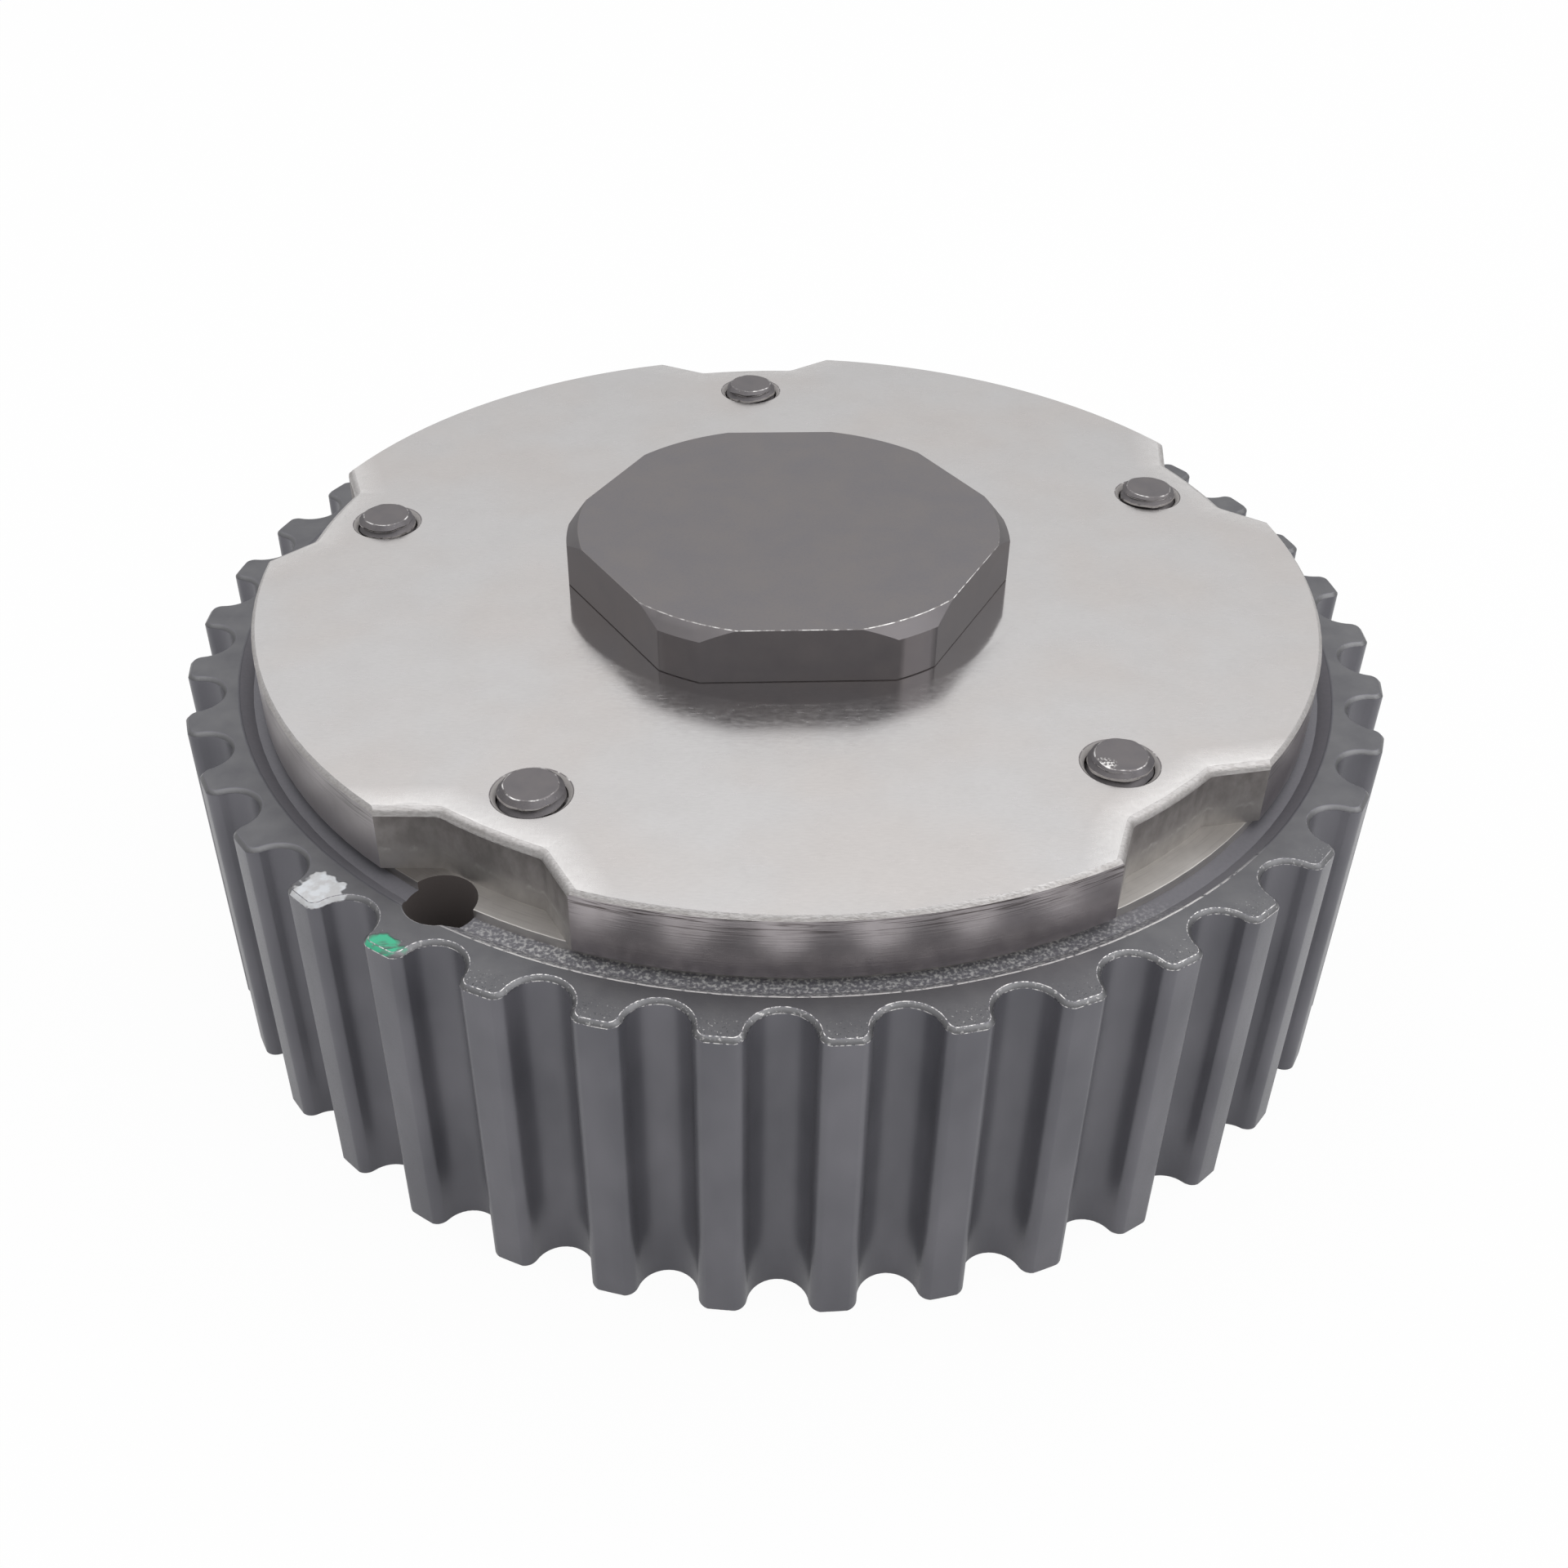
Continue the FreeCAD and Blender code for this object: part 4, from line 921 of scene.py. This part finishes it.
class PHASER_OT_cover_screws(bpy.types.Operator):
    """Cover screws: rear heads with broken edges and threaded front ends"""
    bl_idname = "phaser.cover_screws"
    bl_label = "Cover screws"

    def execute(self, context):
        sizes, look = context.scene.phaser_sizes, context.scene.phaser_colours
        heads = copied("cover_screws", "cover_screw_bars")
        steel = steel_finish(look, "screw_steel", look.plug, look.tooth_dark, 0.36, turned=False,
                             marked=0.2)
        worn = worn_finish(look, "screw_edge", look.plug, 0.4)
        thread, end, chamfer, lip = range(4)
        thread_finishes = (
            worn_finish(look, "screw_thread", look.plug, 0.6, 0.5), end_finish(look),
            steel_finish(look, "screw_chamfer", look.plug, look.tooth_dark, 0.5, turned=False,
                         marked=0.3),
            worn_finish(look, "screw_lip", look.plug, 0.46, 0.6))

        def head_edge(edge):
            return corner(edge) > SQUARE and all(vertex.co.z < HEADS_TOP for vertex in edge.verts)

        def zone(polygon, inner, outer):
            up = polygon.normal.z
            if up > LIP_UP:
                return end if up > END_UP else lip
            return chamfer if abs(up) > SLOPED else thread

        sort_faces(heads, (steel, worn), lambda polygon, inner, outer: 0)
        bevel(heads, head_edge, sizes.broken_edge, material=1)
        middle, flat = first_screw_end(heads)
        low = SCREW_TOP - THREAD_LENGTH
        trim(heads, low + NEAR, clear_outer=True)
        smooth(heads)
        settle(heads, "housing", "dark_steel", "cover_screws")

        first = threaded_end(sizes, flat + SCREW_CHAMFER, low, SCREW_TOP)
        sort_faces(first, thread_finishes, zone)
        wear(first, sizes.thread_wear)
        only(first)
        bpy.ops.transform.translate(value=(middle.x, middle.y, 0))
        bpy.ops.object.transform_apply(location=True)
        smooth(first, angle=20)
        for number in range(SECTORS):
            piece = first
            if number:
                only(first)
                bpy.ops.object.duplicate()
                piece = bpy.context.active_object
                piece.rotation_euler.z = math.radians(STEP * number)
                bpy.ops.object.transform_apply(rotation=True)
            piece.name = "thread_end_%d" % (number + 1)
            settle(piece, "housing", "dark_steel")
        return {"FINISHED"}


class PHASER_OT_rear_cover(bpy.types.Operator):
    """Rear cover with broken edges, and the plug's and covers' rubber rings"""
    bl_idname = "phaser.rear_cover"
    bl_label = "Rear cover"

    def execute(self, context):
        sizes, look = context.scene.phaser_sizes, context.scene.phaser_colours
        piece = copied("rear_cover", "rear_plate")
        finishes = (land_finish(look), worn_finish(look, "rear_edge", look.land, 0.45))
        sort_faces(piece, finishes, lambda polygon, inner, outer: 0)
        bevel(piece, square_at(REAR_FACE), sizes.broken_edge * 2, material=1)
        smooth(piece)
        settle(piece, "housing", "ground_steel", "rear_cover")
        refinish(soft_finish("seal_rubber_skin", tuple(look.rubber), 0.5, 0.3),
                 "plug_seal_ring", "front_cover_seal", "rear_cover_seal")
        return {"FINISHED"}


class PHASER_OT_rotor(bpy.types.Operator):
    """Vane rotor with its dowel, lock and strips"""
    bl_idname = "phaser.rotor"
    bl_label = "Rotor"

    def execute(self, context):
        sizes, look = context.scene.phaser_sizes, context.scene.phaser_colours
        piece = copied("rotor", "vane_rotor")
        finishes = (
            steel_finish(look, "rotor_turned", look.rotor, look.notch, 0.3),
            worn_finish(look, "rotor_edge", look.rotor, 0.45))
        sort_faces(piece, finishes, lambda polygon, inner, outer: 0)
        bevel(piece, square_at(ROTOR_BACK), sizes.broken_edge * 2, material=1)
        smooth(piece)
        settle(piece, "rotor", "rotor_steel", "rotor")
        hard = steel_finish(look, "hardened_pin", look.hard, look.rotor, 0.16)
        refinish(hard, "lock_pin", "lock_spring_seat", "lock_bushing", "cam_dowel")
        wire = steel_finish(look, "spring_wire", look.rotor, look.plug, 0.26, turned=False)
        strips = soft_finish("strip_plastic", tuple(look.plastic), 0.42, 0.15)
        refinish(wire, "lock_pin_spring")
        for number in range(1, SECTORS + 1):
            refinish(wire, "vane_seal_spring_%d" % number, "web_seal_spring_%d" % number)
            refinish(strips, "vane_seal_%d" % number, "web_seal_%d" % number)
        return {"FINISHED"}


# The studio: the floor's width and its grey, and each lamp's name, place, width and power
FLOOR_WIDTH, FLOOR_TONE = 6.0, 232
LAMPS = (
    ("top_softbox", (0.1, 0.0, 0.8), 1.2, 3.4),
    ("side_softbox", (0.65, -0.25, 0.45), 0.55, 1.0),
)

# How much of the floor shines white to the camera, and how much of it shows in mirror reflections
FLOOR_WHITE, FLOOR_MIRRORED = 0.96, 0.4


class PHASER_OT_stage(bpy.types.Operator):
    """Camera, pale floor, soft lamps and a pale surrounding"""
    bl_idname = "phaser.stage"
    bl_label = "Stage"

    def execute(self, context):
        scene = context.scene
        bpy.ops.object.select_all(action="DESELECT")
        bpy.ops.mesh.primitive_plane_add(size=FLOOR_WIDTH, location=(0, 0, -NEAR))
        floor = bpy.context.active_object
        floor.name = "floor"
        paper = Nodes(bpy.data.materials.new("pale_floor"))
        output = paper.tree.nodes["Material Output"].inputs["Surface"]
        straight, mirrored, through = [
            paper.add("ShaderNodeLightPath", output=name)
            for name in ("Is Camera Ray", "Is Glossy Ray", "Is Transmission Ray")]
        seen = straight.maths("MAXIMUM", mirrored * FLOOR_MIRRORED).maths("MAXIMUM", through)
        white = paper.add("ShaderNodeEmission", sockets={"Color": (1, 1, 1), "Strength": 1.0})
        matt = paper.add("ShaderNodeBsdfDiffuse", sockets={"Color": tone(*[FLOOR_TONE] * 3)})
        paper.feed(output, paper.add("ShaderNodeMixShader",
                                     sockets={0: seen * FLOOR_WHITE, 1: matt, 2: white}))
        floor.data.materials.append(bpy.data.materials["pale_floor"])

        right, up, back = sight_axes()
        turned = Matrix((right, up, back)).transposed().to_4x4()
        bpy.ops.object.camera_add()
        camera = bpy.context.active_object
        camera.name = "camera"
        camera.matrix_world = Matrix.Translation(EYE) @ turned
        camera.data.lens = LENS
        camera.data.sensor_width = SENSOR
        camera.data.clip_start = 0.01
        scene.camera = camera
        scene.view_settings.view_transform = "Standard"

        for name, place, size, power in LAMPS:
            bpy.ops.object.light_add(type="AREA", location=place)
            lamp = bpy.context.active_object
            lamp.name = name
            lamp.data.size = size
            lamp.data.energy = power
            lamp.rotation_euler = Vector(place).to_track_quat("Z", "Y").to_euler()

        # White to the camera, else darker low in front, and dimmed where the top lamp hangs
        scene.world = bpy.data.worlds.new("pale_surrounding")
        sky = Nodes(scene.world)
        direction = sky.add("ShaderNodeTexCoord", output="Generated")
        y, z = sky.split(direction)[1:]
        in_front = 0.3 + z.above(0.57, 0.58) * 0.7
        behind = (z * 0.92 + 0.4).maths("MINIMUM", 1.0)
        behind_lamp = 1.0 - z.above(0.88, 0.12) * 0.5
        around = in_front + (behind - in_front) * y.above(0.1, 0.8)
        seen = sky.add("ShaderNodeLightPath", output="Is Camera Ray")
        strength = (around * behind_lamp).maths("MAXIMUM", seen)
        sky.feed(sky.tree.nodes["Background"].inputs["Strength"], strength)
        sky.feed(sky.tree.nodes["Background"].inputs["Color"], (1, 1, 1))
        return {"FINISHED"}


class PHASER_PT_looks(bpy.types.Panel):
    """Panel that lists the pieces, their sizes and their colours"""
    bl_idname = "PHASER_PT_looks"
    bl_label = "Cam phaser"
    bl_space_type = "VIEW_3D"
    bl_region_type = "UI"
    bl_category = "Cam phaser"

    def draw(self, context):
        for operator in OPERATORS:
            self.layout.operator(operator.bl_idname)
        for group in (context.scene.phaser_sizes, context.scene.phaser_colours):
            box = self.layout.box()
            for name in group.__annotations__:
                box.prop(group, name)


OPERATORS = (PHASER_OT_pulley, PHASER_OT_front_cover, PHASER_OT_closure_plug,
             PHASER_OT_cover_screws, PHASER_OT_rear_cover, PHASER_OT_rotor, PHASER_OT_stage)
CLASSES = (PhaserSizes, PhaserColours) + OPERATORS + (PHASER_PT_looks,)


def register():
    for item in CLASSES:
        bpy.utils.register_class(item)
    bpy.types.Scene.phaser_sizes = PointerProperty(type=PhaserSizes)
    bpy.types.Scene.phaser_colours = PointerProperty(type=PhaserColours)


def unregister():
    del bpy.types.Scene.phaser_colours
    del bpy.types.Scene.phaser_sizes
    for item in reversed(CLASSES):
        bpy.utils.unregister_class(item)


def main():
    register()
    for operator in OPERATORS:
        group, name = operator.bl_idname.split(".")
        getattr(getattr(bpy.ops, group), name)()


if __name__ == "__main__":
    main()
